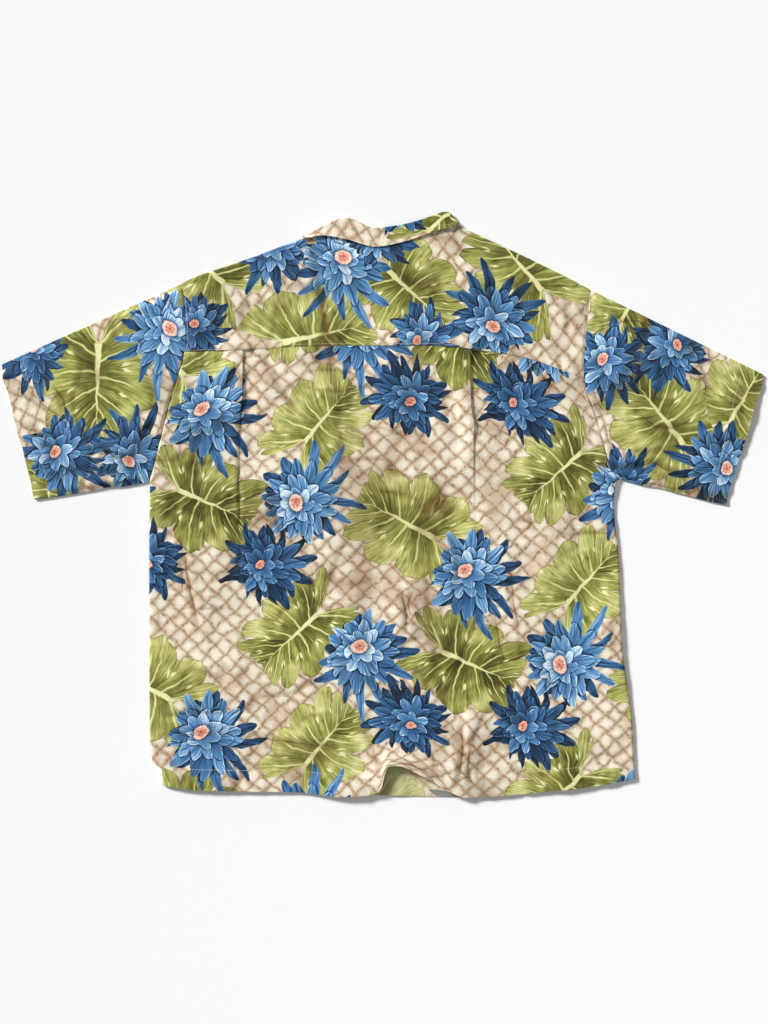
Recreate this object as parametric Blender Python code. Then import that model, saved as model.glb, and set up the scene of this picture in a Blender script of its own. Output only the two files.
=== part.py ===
"""Short-sleeved camp-collar aloha shirt, laid flat on its front with its back up.

The shirt rests on z = 0. +X is across the back, +Y runs up to the collar and +Z is away from
the surface it lies on. The buttons and the fronts lie lowest, the back, the yoke and the fall
of the collar lie on top of them. Sizes in the tables are millimetres; meshes are made in metres.
"""
import math

import bpy
import numpy as np

MM = 0.001

# Cloth
CLOTH = 1.1            # thickness of every cloth wall
HALF = CLOTH / 2
GAP = 0.3              # clearance between two pieces at a seam or in a stack
LAYER = CLOTH + GAP    # height from one cloth layer's middle to the next
REST = 2.6             # middle of the upper layer where nothing lifts it
MITRE_LIMIT = 1.3      # longest corner of a wall, as a multiple of half the cloth
SHARP_EDGE = 50.0      # degrees; shallower edges are shaded smooth

# Lattice steps of the panels
SIDE_STEPS = 13        # rows between the hem band and the pit
ARMHOLE_STEPS = 7      # rows between the pit and the yoke seam
YOKE_STEPS = 3         # rows between the yoke seam and the front strip's edge
SEAM_STATION = 1 + YOKE_STEPS   # armhole station where the yoke seam ends, 0 at the shoulder
SLEEVE_STEPS = 8       # rings from armhole to cuff
FOLD_TURNS = 4         # facets round half a turn of cloth

# Shoulders, armholes and cuffs
STRIP = 28.0           # how far the yoke reaches over the shoulder onto the fronts
HEM_BAND = 28.0        # depth of the hem
HEM_FADE = 140.0       # height over which the hem's curve straightens out
PIT_STEP = 6.0         # last side row below the pit
TUCK_SHARE = 0.25      # how far the back reaches in under the yoke, as a share of a yoke row

# Outline tables, one row for each point: x, y
ARMHOLE = {
    -1: ((-280.0, 311.0), (-275.0, 234.0), (-297.0, 150.0), (-325.5, 36.0)),
    +1: ((290.0, 303.0), (281.0, 185.0), (300.0, 122.0), (321.0, 52.0), (330.0, 40.0)),
}
YOKE_END = {-1: 217.0, +1: 180.5}                         # y of the yoke seam at each armhole
CUFF = {-1: ((-533.8, 197.5), (-510.0, 104.0), (-486.0, 11.5)),
        +1: ((533.8, 183.5), (507.0, 92.0), (479.0, 4.5))}
NECK_POINT = {-1: (-101.5, 377.0), +1: (96.8, 396.5)}    # shoulder fold meets the collar

# Side edges from hem to pit: y, x
SIDE = {
    -1: ((-389.0, -307.5), (-368.0, -308.5), (-356.0, -322.0), (-330.0, -325.5),
         (-100.0, -326.5), (36.0, -325.5)),
    +1: ((-379.5, 353.5), (-361.0, 352.0), (-294.0, 349.0), (-245.0, 342.0), (-200.0, 336.0),
         (-74.0, 331.0), (8.0, 323.5), (28.0, 326.5), (40.0, 330.0)),
}

# Curves across the body: x, y
YOKE_SEAM = ((-290.0, 216.5), (-199.5, 219.8), (-73.5, 225.4), (52.5, 225.4), (192.5, 210.0),
             (248.5, 191.8), (285.0, 178.0))
HEM = ((-308.0, -389.0), (-255.5, -396.0), (-115.5, -399.0), (-52.5, -405.0), (-14.0, -403.0),
       (60.0, -405.0), (122.5, -405.5), (248.5, -396.0), (304.5, -389.0), (354.0, -379.5))

# Where the back's hem has flipped up off the front: x, how far it draws back, how far it lifts
HEM_FLIP = ((-20.0, 0.0, 0.0), (-4.0, 6.0, 3.0), (8.0, 42.0, 7.0), (24.0, 43.0, 6.5),
            (48.0, 33.0, 5.0), (66.0, 25.0, 3.5), (90.0, 9.0, 1.2), (112.0, 0.0, 0.0))
# How much of the flip a row takes: height above the hem, share of the draw, share of the lift
FLIP_FADE = ((0.0, 1.0, 1.0), (15.0, 0.72, 0.95), (28.0, 0.45, 0.6), (60.0, 0.12, 0.15),
             (95.0, 0.0, 0.0))

# Collar behind: x, y of the neck seam, y of the roll line, y of the fall's free edge
COLLAR_BACK = ((-86.0, 380.0, 391.0, 379.0), (-52.0, 376.5, 404.0, 374.0),
               (-10.0, 366.5, 390.0, 363.5), (30.0, 373.0, 395.0, 370.5),
               (66.0, 384.5, 404.5, 382.5), (84.0, 391.0, 403.5, 388.5))
# Collar, front leaf: place along the neckline (0 centre front, 1 shoulder strip), distance of the
# roll from the centre line, y of the roll, then the same for the free edge
COLLAR_LEAF = ((0.07, 5.0, 297.0, 62.0, 222.0), (0.40, 34.0, 320.0, 94.0, 262.0),
               (0.72, 62.0, 340.0, 115.0, 302.0), (1.00, 85.0, 358.5, 119.0, 340.0))
LEAF_PLACES = (0.07, 0.23, 0.39, 0.55, 0.71, 0.86, 1.0, 1.5, 2.0)
# Collar at the neck points: x, y of the roll, x, y of the fall's free edge
COLLAR_SIDE = {-1: (-95.0, 384.0, -109.5, 375.3), +1: (91.5, 402.5, 104.3, 394.4)}
NECK_EASE = 0.2        # extra clearance between collar and yoke at the neck points
NECK_STEPS = 8         # chords that the back neckline is cut in
STAND_HEIGHT = 4.6     # middle of the stand where it lies on the yoke's level
ROLL_RADIUS = 1.2      # of the cloth's middle round the roll line
STAND_SHARES = (0.0, 0.5, 1.0)
FALL_SHARES = (0.0, 0.33, 0.66, 1.0)
LEAST_SLANT = 0.35     # sine of the roll line's angle to its section, at its smallest

# Fronts
CENTRE_NECK = 285.0    # y of the neckline at the centre front
OVERLAP = 15.0         # each front reaches this far past the centre line
BUTTON_RADIUS = 5.5
BUTTON_THICK = 2.0
BUTTON_TOP = 250.0
BUTTON_PITCH = 95.0
BUTTON_COUNT = 6
BUTTON_SIDES = 12
# Button rings from the middle of its lower face to its upper rim: radius, height
BUTTON_PROFILE = ((3.4, 0.45), (4.5, 0.0), (BUTTON_RADIUS, 0.7), (BUTTON_RADIUS, 1.4),
                  (4.8, BUTTON_THICK))
PLACKET_LIFT = BUTTON_THICK + GAP     # the outer front rides over its buttons
PLACKET_FADE = (70.0, 18.0)           # distances below the last button where the ride starts, is full
OUTER_RISE = (44.0, 17.0)             # distances from the centre line where the outer front rises
INNER_RISE = (50.0, 19.0)             # the same for the inner front, which lies on it

# Where a collar leaf lies under the fronts: |x| outside and inside its edge, y below and above it
LEAF_COVER = ((200.0, 156.0), (150.0, 192.0))
# What lifts the upper layer: height, then |x| and y where each lift starts and where it is full
LIFTS = ((3.3, (200.0, 30.0), (335.0, 262.0)),     # the doubled plackets
         (1.1, (215.0, 126.0), (262.0, 345.0)),    # the neck
         (0.9, (250.0, 160.0), (120.0, 190.0)))    # the collar's leaves

# Pleats under the yoke, left then right: y, x down each fold's edge
PLEATS = (
    ((225.0, -195.0), (205.0, -195.0), (60.0, -197.0), (-75.0, -199.5), (-405.0, -206.0)),
    ((225.0, 122.0), (150.0, 124.0), (120.0, 130.0), (20.0, 131.0), (-405.0, 142.0)),
)
# How a pleat opens: distance below the yoke seam, depth of the fold, how far it is closed (1 = flat)
PLEAT_OPENING = ((-10.0, 10.0, 1.0), (30.0, 9.0, 1.0), (60.0, 5.0, 1.0), (85.0, 1.2, 0.95),
                 (110.0, 0.6, 0.42), (200.0, 0.5, 0.22), (300.0, 0.5, 0.10), (420.0, 0.5, 0.0),
                 (700.0, 0.5, 0.0))
PLEAT_RADIUS = 0.75
PLEAT_TOP = 222.0                     # y that PLEAT_OPENING counts down from
# Columns on the rising side: distance before the fold, share of the rise
PLEAT_APPROACH = ((22.0, 0.10), (12.0, 0.55), (3.0, 1.0))
PLEAT_LEAVING = 9.0                   # first column after the fold
PLEAT_PLACE = 0.45                    # share of a row's length where its height is read for pleats
ROW_BOW = 22.0                        # how far rows above the pit bow up there

# Yoke over the back's edge
YOKE_LEDGE = LAYER + 0.35              # height of its lower edge above the back's
PLEAT_CREST = 4 * PLEAT_RADIUS         # height of a closed pleat's top layer above its exit
CREST_FOOT = (42.0, 18.0)              # where the yoke starts to rise over a pleat, either side
CREST_TOP = (22.0, 4.0)                # where it is fully up
YOKE_ROWS = (SEAM_STATION, SEAM_STATION - 0.3, SEAM_STATION - 0.8) \
    + tuple(range(SEAM_STATION - 1, -1, -1))
YOKE_RIGHT_COLUMNS = 5
NECK_COLUMN = 0.45                     # extra column between the left pleat and the neck, as a share
CREST_COLUMN = 2.0                     # distance of the neck's extra column from the right crest's foot
SLEEVE_BLEND = 45.0                    # near the armhole the shoulder's roll turns the sleeve's way
STRIP_SHARES = (0.5, 1.0)              # rows of the strip on the fronts

# Columns of the back: rolled edge (inset of the cloth's middle, share of the layer's height),
# flat edge at the armhole, and plain columns left of, between and right of the pleats
SIDE_LIP = ((HALF, 0.0), (HALF, 0.42), (1.1, 0.78), (2.9, 0.97))
FLAT_LIP = ((0.0, 1.0), (1.3, 1.0), (2.6, 1.0), (4.0, 1.0))
LEFT_COLUMNS = 4
MIDDLE_COLUMNS = 11
RIGHT_COLUMNS = 7

# Columns of the fronts
FRONT_INSET = 2 * CLOTH + GAP - HALF - 0.25   # side edges end inside the back's rolled edge
FRONT_SIDE_COLUMNS = 7
FRONT_COLUMNS = {-1: (-72.0, -44.0, -30.0, -17.0, 0.0), +1: (74.0, 50.0, 34.0, 19.0, 0.0)}
NECKLINE_COSINE = 0.85                 # of the front neckline's slope

# Largest folds of the upper layer: x and y of both ends, half width, height
FOLDS = (
    (-277.0, -53.0, -255.0, -172.0, 17.0, 1.5),
    (178.0, -92.0, 191.0, -175.0, 16.0, 1.2),
    (127.0, -300.0, 103.0, -380.0, 17.0, 1.6),
    (214.0, 184.0, 246.0, 156.0, 15.0, 1.3),
    (-195.0, -322.0, -52.0, -337.0, 16.0, 1.2),
    (-505.0, 120.0, -430.0, 60.0, 17.0, 1.6),
    (-470.0, 165.0, -390.0, 130.0, 18.0, 1.3),
    (400.0, 60.0, 465.0, 30.0, 17.0, 1.8),
    (420.0, 120.0, 490.0, 95.0, 18.0, 1.3),
)

# Colour of each piece's plain material: red, green, blue
COLOURS = {
    "back": (0.70, 0.60, 0.44), "yoke": (0.72, 0.63, 0.48),
    "front_left": (0.66, 0.57, 0.42), "front_right": (0.64, 0.55, 0.41),
    "sleeve_left": (0.60, 0.60, 0.42), "sleeve_right": (0.58, 0.59, 0.43),
    "collar": (0.74, 0.66, 0.52), "button": (0.55, 0.43, 0.28),
}
CLOTH_ROUGHNESS = 0.82
BUTTON_ROUGHNESS = 0.35


# ---------------------------------------------------------------- curves and easing

def smooth(keys, values, where):
    """Cubic through a table's values that never overshoots between two rows."""
    keys = np.asarray(keys, float)
    values = np.asarray(values, float)
    step = np.diff(keys)
    slope = np.diff(values) / step
    tangent = np.zeros_like(values)
    product = slope[1:] * slope[:-1]
    total = np.where(product > 0, slope[1:] + slope[:-1], 1.0)
    tangent[1:-1] = np.where(product > 0, 2 * product / total, 0.0)
    tangent[0], tangent[-1] = slope[0], slope[-1]
    where = np.clip(np.asarray(where, float), keys[0], keys[-1])
    index = np.clip(np.searchsorted(keys, where, side="right") - 1, 0, len(step) - 1)
    width = step[index]
    t = (where - keys[index]) / width
    rise = 3 * t**2 - 2 * t**3
    return (values[index] * (1 - rise) + values[index + 1] * rise
            + width * (tangent[index] * (t**3 - 2 * t**2 + t)
                       + tangent[index + 1] * (t**3 - t**2)))


def table(rows, column, where):
    """Column of a table whose first column is the key, read at `where`."""
    data = np.array(sorted(rows))
    return smooth(data[:, 0], data[:, column], where)


def trace(points, shares):
    """Points on a smooth curve through `points`, at shares of its length."""
    points = np.array(points, float)
    length = np.concatenate([[0], np.cumsum(np.linalg.norm(np.diff(points, axis=0), axis=1))])
    where = np.asarray(shares) * length[-1]
    return np.stack([smooth(length, points[:, i], where) for i in range(points.shape[1])], axis=-1)


def ease(value, start, end):
    """0 at `start`, 1 at `end`, smooth between; the ends may run either way."""
    t = np.clip((np.asarray(value, float) - start) / (end - start), 0, 1)
    return t * t * (3 - 2 * t)


def between(start, end, share):
    """Straight blend of two values or points."""
    return start + (end - start) * share


# ---------------------------------------------------------------- layer heights (cloth middles)

def leaf_cover(x, y):
    """1 where a collar leaf lies between the fronts and the surface, easing to 0 around it."""
    return ease(np.abs(x), *LEAF_COVER[0]) * ease(y, *LEAF_COVER[1])


def lower_height(x, y):
    """Fronts and shoulder strip: on the surface, or on the collar's leaves."""
    return HALF + LAYER * leaf_cover(x, y)


def placket_cover(y):
    """1 along the buttons, 0 below the last of them."""
    last = BUTTON_TOP - BUTTON_PITCH * (BUTTON_COUNT - 1)
    return ease(y, last - PLACKET_FADE[0], last - PLACKET_FADE[1])


def front_left_height(x, y):
    """Outer front: rides over the buttons near its edge."""
    placket = HALF + PLACKET_LIFT * placket_cover(y) * ease(np.abs(x), *OUTER_RISE)
    return np.maximum(lower_height(x, y), placket)


def front_right_height(x, y):
    """Inner front: lies on the outer front's overlap, then comes down to the surface."""
    over = front_left_height(np.zeros_like(x), y) + LAYER
    return between(lower_height(x, y), over, ease(x, *INNER_RISE))


def upper_height(x, y):
    """Back, yoke and upper sleeves: clear of what lies below, with the largest folds."""
    height = REST + sum(lift * ease(np.abs(x), *across) * ease(y, *along)
                        for lift, across, along in LIFTS)
    for x0, y0, x1, y1, half_width, rise in FOLDS:
        along = ((x - x0) * (x1 - x0) + (y - y0) * (y1 - y0)) / ((x1 - x0)**2 + (y1 - y0)**2)
        nearest = np.clip(along, 0, 1)
        off = np.hypot(x - between(x0, x1, nearest), y - between(y0, y1, nearest))
        height = height + rise * np.exp(-(off / half_width)**2)
    return height


# ---------------------------------------------------------------- shared seam lines

def armhole_shares(side):
    """Shares of the armhole's length: shoulder, strip edge, yoke seam and on to the pit."""
    fine = trace(ARMHOLE[side], np.linspace(0, 1, 201))
    walked = np.concatenate([[0], np.cumsum(np.linalg.norm(np.diff(fine, axis=0), axis=1))])
    strip = np.interp(STRIP, walked, np.linspace(0, 1, 201))
    seam = np.interp(-YOKE_END[side], -fine[:, 1], np.linspace(0, 1, 201))
    return np.concatenate([[0.0], np.linspace(strip, seam, YOKE_STEPS + 1),
                           np.linspace(seam, 1, ARMHOLE_STEPS + 1)[1:]])


def armhole(side):
    """Seam stations from the shoulder fold to the pit."""
    return trace(ARMHOLE[side], armhole_shares(side))


def side_rows(side):
    """Edge points of a body panel from the hem up to the pit."""
    hem_y, pit_y = SIDE[side][0][0], SIDE[side][-1][0]
    heights = np.concatenate([[hem_y, hem_y + HEM_BAND / 2],
                              np.linspace(hem_y + HEM_BAND, pit_y - PIT_STEP, SIDE_STEPS + 1)])
    return np.stack([table(SIDE[side], 1, heights), heights], axis=-1)


def shoulder_axis(side):
    """Unit vector along the shoulder fold away from the neck, and the one square to it."""
    start = np.array(NECK_POINT[side])
    run = np.array(ARMHOLE[side][0]) - start
    run = run / np.linalg.norm(run)
    return run, np.array([-run[1], run[0]]) * side


def strip_corner(side):
    """Where the yoke's strip on the front meets the neckline."""
    return np.array(NECK_POINT[side]) - STRIP * shoulder_axis(side)[1]


NECK_X = np.linspace(NECK_POINT[-1][0], NECK_POINT[+1][0], NECK_STEPS + 1)


def neck_seam(x):
    """y of the back neckline, in straight chords that yoke and collar share."""
    rows = [NECK_POINT[-1]] + [row[:2] for row in COLLAR_BACK] + [NECK_POINT[+1]]
    return np.interp(x, NECK_X, table(rows, 1, NECK_X))


# ---------------------------------------------------------------- cloth walls

def wall(name, middle, wrap=False, keep=None):
    """Give a grid of middle points (row, column, xyz) cloth thickness, as one closed body."""
    rows, columns = middle.shape[:2]
    spans = columns if wrap else columns - 1
    triangles = []
    for row in range(rows - 1):
        for column in range(spans):
            if keep is not None and not keep[row, column]:
                continue
            right = (column + 1) % columns
            a, b = row * columns + column, row * columns + right
            triangles += [(a, b, b + columns), (a, b + columns, a + columns)]
    triangles = np.array(triangles)
    points = middle.reshape(-1, 3)
    corner = points[triangles]
    normal = np.cross(corner[:, 1] - corner[:, 0], corner[:, 2] - corner[:, 0])
    normal /= np.linalg.norm(normal, axis=1)[:, None]
    mean = np.zeros_like(points)
    for i in range(3):
        np.add.at(mean, triangles[:, i], normal)
    mean /= np.maximum(np.linalg.norm(mean, axis=1), 1e-9)[:, None]
    lean = np.zeros(len(points))
    count = np.zeros(len(points))
    for i in range(3):
        np.add.at(lean, triangles[:, i], (mean[triangles[:, i]] * normal).sum(axis=1))
        np.add.at(count, triangles[:, i], 1)
    mitre = np.clip(count / np.maximum(lean, 1e-9), 1.0, MITRE_LIMIT)
    offset = mean * (HALF * mitre)[:, None]
    top, under = points + offset, points - offset
    under[:, 2] = np.maximum(under[:, 2], 0.0)
    top[:, 2] = np.maximum(top[:, 2], 0.0)
    used = np.unique(triangles)
    slot = np.full(len(points), -1)
    slot[used] = np.arange(len(used))
    upper = slot[triangles]
    size = len(used)
    directed = {(a, b) for tri in upper for a, b in zip(tri, np.roll(tri, -1))}
    faces = [tuple(tri) for tri in upper] + [tuple(tri[::-1] + size) for tri in upper]
    for a, b in sorted(directed):
        if (b, a) not in directed:
            faces += [(b, a, a + size), (b, a + size, b + size)]
    return solid(name, np.concatenate([top[used], under[used]]), faces)


def solid(name, points, faces):
    """One named object from points in millimetres."""
    mesh = bpy.data.meshes.new(name)
    mesh.from_pydata((np.asarray(points) * MM).tolist(), [],
                     [[int(index) for index in face] for face in faces])
    mesh.validate()
    mesh.shade_smooth()
    mesh.set_sharp_from_angle(angle=math.radians(SHARP_EDGE))
    thing = bpy.data.objects.new(name, mesh)
    bpy.context.scene.collection.objects.link(thing)
    mesh.materials.append(finish(name))
    return thing


def finish(name):
    """Plain Principled material of a piece."""
    key = "button" if name.startswith("button") else name
    material = bpy.data.materials.new(name)
    material.use_nodes = True
    shader = material.node_tree.nodes["Principled BSDF"]
    shader.inputs["Base Color"].default_value = (*COLOURS[key], 1.0)
    shader.inputs["Roughness"].default_value = BUTTON_ROUGHNESS if key == "button" else CLOTH_ROUGHNESS
    shader.inputs["Metallic"].default_value = 0.0
    return material


# ---------------------------------------------------------------- rows of a panel

def bend(x, left, right, curve_y):
    """How far a curve lies above the straight line between a row's ends, nothing at the ends."""
    off = curve_y - between(left[1], right[1], (x - left[0]) / (right[0] - left[0]))
    off[0] = off[-1] = 0.0
    return off


def body_edge(side):
    """Edge points of a body panel: side seam from the hem, then armhole stations to the top."""
    return np.concatenate([side_rows(side), armhole(side)[::-1]])


PIT_ROW = SIDE_STEPS + 3               # first row of the body panels that lies on the armhole


# ---------------------------------------------------------------- back

def pleat_section(depth, closed):
    """Cloth through one knife pleat: offsets from its visible edge, and heights above its exit.

    The cloth arrives on top, turns under at the edge, runs back by the fold's depth, and turns
    again to leave below. Each turn keeps its length of cloth as the pleat opens.
    """
    turn_length = math.pi * PLEAT_RADIUS / FOLD_TURNS
    angle = -math.pi * closed
    turning = [angle * (i + 0.5) / FOLD_TURNS for i in range(FOLD_TURNS)]
    headings = np.array(turning + [angle] + turning[::-1])
    lengths = np.array([turn_length] * FOLD_TURNS + [depth] + [turn_length] * FOLD_TURNS)
    run = np.concatenate([[0], np.cumsum(lengths * np.cos(headings))])
    drop = np.concatenate([[0], np.cumsum(lengths * np.sin(headings))])
    return run - run.max(), drop - drop[-1]


def pleat_columns(edge_rows, y):
    """x and extra height of a pleat's columns in one row of the back."""
    depth, closed = (float(table(PLEAT_OPENING, i, PLEAT_TOP - y)) for i in (1, 2))
    run, rise = pleat_section(depth, closed)
    edge = float(table(edge_rows, 1, y))
    before = [edge + run.min() - back for back, _ in PLEAT_APPROACH]
    climb = [rise[0] * share for _, share in PLEAT_APPROACH]
    return (np.concatenate([before, edge + run, [edge + run[-1] + PLEAT_LEAVING]]),
            np.concatenate([climb, rise, [0.0]]))


def back_row(left, right, rolled):
    """One row of the back: x, height above the layer, and share of the layer's height."""
    middle_y = between(left[1], right[1], PLEAT_PLACE) + ROW_BOW * (not rolled)
    pleats = [pleat_columns(rows, middle_y) for rows in PLEATS]
    lip = SIDE_LIP if rolled else FLAT_LIP
    inset = np.array([row[0] for row in lip])
    share = np.array([row[1] for row in lip])
    near, far = left[0] + inset, right[0] - inset[::-1]
    fill = [np.linspace(start, end, steps + 1)[1:-1] for start, end, steps in (
        (near[-1], pleats[0][0][0], LEFT_COLUMNS),
        (pleats[0][0][-1], pleats[1][0][0], MIDDLE_COLUMNS),
        (pleats[1][0][-1], far[0], RIGHT_COLUMNS))]
    x = np.concatenate([near, fill[0], pleats[0][0], fill[1], pleats[1][0], fill[2], far])
    nothing = [np.zeros(len(part)) for part in fill]
    rise = np.concatenate([0 * share, nothing[0], pleats[0][1], nothing[1], pleats[1][1],
                           nothing[2], 0 * share])
    full = np.ones(len(x))
    full[:len(share)], full[-len(share):] = share, share[::-1]
    return x, rise, full


def back():
    """Back panel: one wall from hem to yoke seam, pleated below the yoke, rolled at its sides."""
    edges = {}
    for side in (-1, +1):
        whole = body_edge(side)[:PIT_ROW + ARMHOLE_STEPS + 2]
        whole[-1] = between(whole[-2], whole[-1], TUCK_SHARE)
        edges[side] = whole
    left, right = edges[-1], edges[+1]
    rows = [back_row(left[i], right[i], i < PIT_ROW) for i in range(len(left))]
    seam = PIT_ROW + ARMHOLE_STEPS
    seam_bend = bend(rows[seam][0], left[seam], right[seam], table(YOKE_SEAM, 1, rows[seam][0]))
    hem_bend = bend(rows[0][0], left[0], right[0], table(HEM, 1, rows[0][0]))
    grid = []
    for i, (x, rise, full) in enumerate(rows):
        above_hem = left[i][1] - left[0][1]
        straight = between(left[i][1], right[i][1], (x - left[i][0]) / (right[i][0] - left[i][0]))
        y = (straight + seam_bend * np.clip((i - PIT_ROW) / ARMHOLE_STEPS, 0, 1)
             + hem_bend * ease(above_hem, HEM_FADE, 0.0))
        draw = table(HEM_FLIP, 1, x) * table(FLIP_FADE, 1, above_hem)
        lift = table(HEM_FLIP, 2, x) * table(FLIP_FADE, 2, above_hem)
        z = (upper_height(x, y) + lift) * full + rise
        grid.append(np.stack([x, y + draw, z], axis=-1))
    return wall("back", np.array(grid))


# ---------------------------------------------------------------- yoke

def pleat_edges():
    """x of both pleats' edges at the yoke seam."""
    return [rows[0][1] for rows in PLEATS]


def yoke_columns():
    """x of the yoke's columns along its seam: left shoulder, neck, right shoulder."""
    pleat_left, pleat_right = pleat_edges()
    ends = {side: armhole(side)[SEAM_STATION][0] for side in (-1, +1)}
    first = [ends[-1], between(ends[-1], pleat_left - CREST_FOOT[0], 0.5),
             pleat_left - CREST_FOOT[0], pleat_left - CREST_TOP[0], pleat_left + CREST_TOP[1],
             pleat_left + CREST_FOOT[1],
             between(pleat_left + CREST_FOOT[1], NECK_X[0], NECK_COLUMN)]
    middle = np.sort(np.append(NECK_X, [pleat_right - CREST_FOOT[0] + CREST_COLUMN]))
    last = [pleat_right + CREST_TOP[1], pleat_right + CREST_FOOT[1]]
    last += list(np.linspace(last[-1], ends[+1], YOKE_RIGHT_COLUMNS + 1)[1:])
    return np.concatenate([first, middle, last])


def yoke_rows():
    """Flat part of the yoke from its seam up, and which columns end on either shoulder."""
    seam_x = yoke_columns()
    station = {side: armhole(side) for side in (-1, +1)}
    left, right = seam_x < NECK_X[0], seam_x > NECK_X[-1]
    crest = sum(PLEAT_CREST * ease(seam_x, edge - CREST_FOOT[0], edge - CREST_TOP[0])
                * ease(seam_x, edge + CREST_FOOT[1], edge + CREST_TOP[1])
                for edge in pleat_edges())

    def ends(step):
        return [np.array([np.interp(step, np.arange(len(station[side])), station[side][:, i])
                          for i in range(2)]) for side in (-1, +1)]

    def row_x(step):
        low, high = ends(step)
        x = seam_x.copy()
        x[left] = low[0] + (seam_x[left] - seam_x[0]) * (NECK_X[0] - low[0]) / (NECK_X[0] - seam_x[0])
        x[right] = high[0] - (seam_x[-1] - seam_x[right]) * (high[0] - NECK_X[-1]) \
            / (seam_x[-1] - NECK_X[-1])
        return x

    top_x = row_x(0)
    low, high = ends(0)
    top_y = neck_seam(top_x)
    top_y[left] = np.interp(top_x[left], [low[0], NECK_X[0]], [low[1], NECK_POINT[-1][1]])
    top_y[right] = np.interp(top_x[right], [NECK_X[-1], high[0]], [NECK_POINT[+1][1], high[1]])
    top_bend = bend(top_x, low, high, top_y)
    seam_bend = bend(seam_x, *ends(SEAM_STATION), table(YOKE_SEAM, 1, seam_x))
    grid = []
    for step in YOKE_ROWS:
        low, high = ends(step)
        x = row_x(step)
        share = step / SEAM_STATION
        y = (between(low[1], high[1], (x - low[0]) / (high[0] - low[0]))
             + seam_bend * share + top_bend * (1 - share))
        ledge = (YOKE_LEDGE + crest) * ease(step, SEAM_STATION - 1, SEAM_STATION - 0.3)
        grid.append(np.stack([x, y, upper_height(x, y) + ledge], axis=-1))
    return np.array(grid), left | (seam_x == NECK_X[0]), right | (seam_x == NECK_X[-1])


def yoke():
    """Yoke: lies over the back's upper edge, rolls over both shoulders onto the fronts."""
    grid, left, right = yoke_rows()
    x, y, z = grid[-1].T
    low = lower_height(x, y)
    radius, centre = (z - low) / 2, (z + low) / 2
    square = np.zeros((len(x), 2))
    ends = np.zeros((len(x), 2))
    for side, mask in ((-1, left), (+1, right)):
        station = armhole(side)
        sleeve_way = station[0] - station[-1]
        sleeve_way = sleeve_way / np.linalg.norm(sleeve_way)
        near_sleeve = ease(np.abs(x[mask] - station[0][0]), SLEEVE_BLEND, 0.0)[:, None]
        way = between(shoulder_axis(side)[1], sleeve_way, near_sleeve)
        square[mask] = way / np.linalg.norm(way, axis=1)[:, None]
        along = (x[mask] - station[0][0]) / (NECK_POINT[side][0] - station[0][0])
        ends[mask] = between(station[1], strip_corner(side), along[:, None])
    extra = []
    for step in range(1, FOLD_TURNS + 1):
        angle = math.pi / 2 - math.pi * step / FOLD_TURNS
        out = square * (radius * math.cos(angle))[:, None]
        extra.append(np.stack([x + out[:, 0], y + out[:, 1], centre + radius * math.sin(angle)],
                              axis=-1))
    for share in STRIP_SHARES:
        plan = between(grid[-1][:, :2], ends, share)
        extra.append(np.stack([*plan.T, lower_height(*plan.T)], axis=-1))
    full = np.concatenate([grid, np.array(extra)])
    keep = np.ones((len(full) - 1, len(x) - 1), bool)
    keep[len(grid) - 1:] = (left[:-1] & left[1:]) | (right[:-1] & right[1:])
    return wall("yoke", full, keep=keep)


# ---------------------------------------------------------------- fronts

def front_top(side, x):
    """y of a front's upper edge: the yoke strip's seam, then the neckline to the centre."""
    start, corner = armhole(side)[1], strip_corner(side)
    seam = between(start[1], corner[1], (x - start[0]) / (corner[0] - start[0]))
    slope = (corner[1] - CENTRE_NECK) / abs(corner[0])
    neckline = CENTRE_NECK + slope * np.clip(x * side, 0.0, None)
    return np.where(x * side >= abs(corner[0]) - 0.01, seam, neckline)


def front(side):
    """One front panel, from its side seam to just past the centre line."""
    edge = body_edge(side)[:-1]
    edge[:PIT_ROW + 1, 0] -= side * FRONT_INSET
    corner = strip_corner(side)
    centre_x = -side * OVERLAP
    placket = FRONT_COLUMNS[side] + (centre_x,)
    height = front_left_height if side < 0 else front_right_height
    centre_hem = float(table(HEM, 1, centre_x))
    rise = (edge[:, 1] - edge[0][1]) / (edge[-1][1] - edge[0][1])
    inner = np.stack([np.full(len(edge), centre_x), between(centre_hem, CENTRE_NECK, rise)], axis=-1)
    shares = np.linspace(0, 1, FRONT_SIDE_COLUMNS + 1)
    x_rows = [np.concatenate([between(end[0], corner[0], shares), placket]) for end in edge]
    top_bend = bend(x_rows[-1], edge[-1], inner[-1], front_top(side, x_rows[-1]))
    hem_bend = bend(x_rows[0], edge[0], inner[0], table(HEM, 1, x_rows[0]))
    grid = []
    for i, x in enumerate(x_rows):
        straight = between(edge[i][1], inner[i][1], (x - edge[i][0]) / (centre_x - edge[i][0]))
        y = (straight + top_bend * np.clip((i - PIT_ROW) / (len(edge) - 1 - PIT_ROW), 0, 1)
             + hem_bend * ease(edge[i][1] - edge[0][1], HEM_FADE, 0.0))
        if i == len(edge) - 1:
            y = y - GAP / NECKLINE_COSINE
        grid.append(np.stack([x, y, height(x, y)], axis=-1))
    grid = np.array(grid)
    if side > 0:
        grid = grid[:, ::-1]
    return wall("front_left" if side < 0 else "front_right", grid)


# ---------------------------------------------------------------- sleeves

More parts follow.
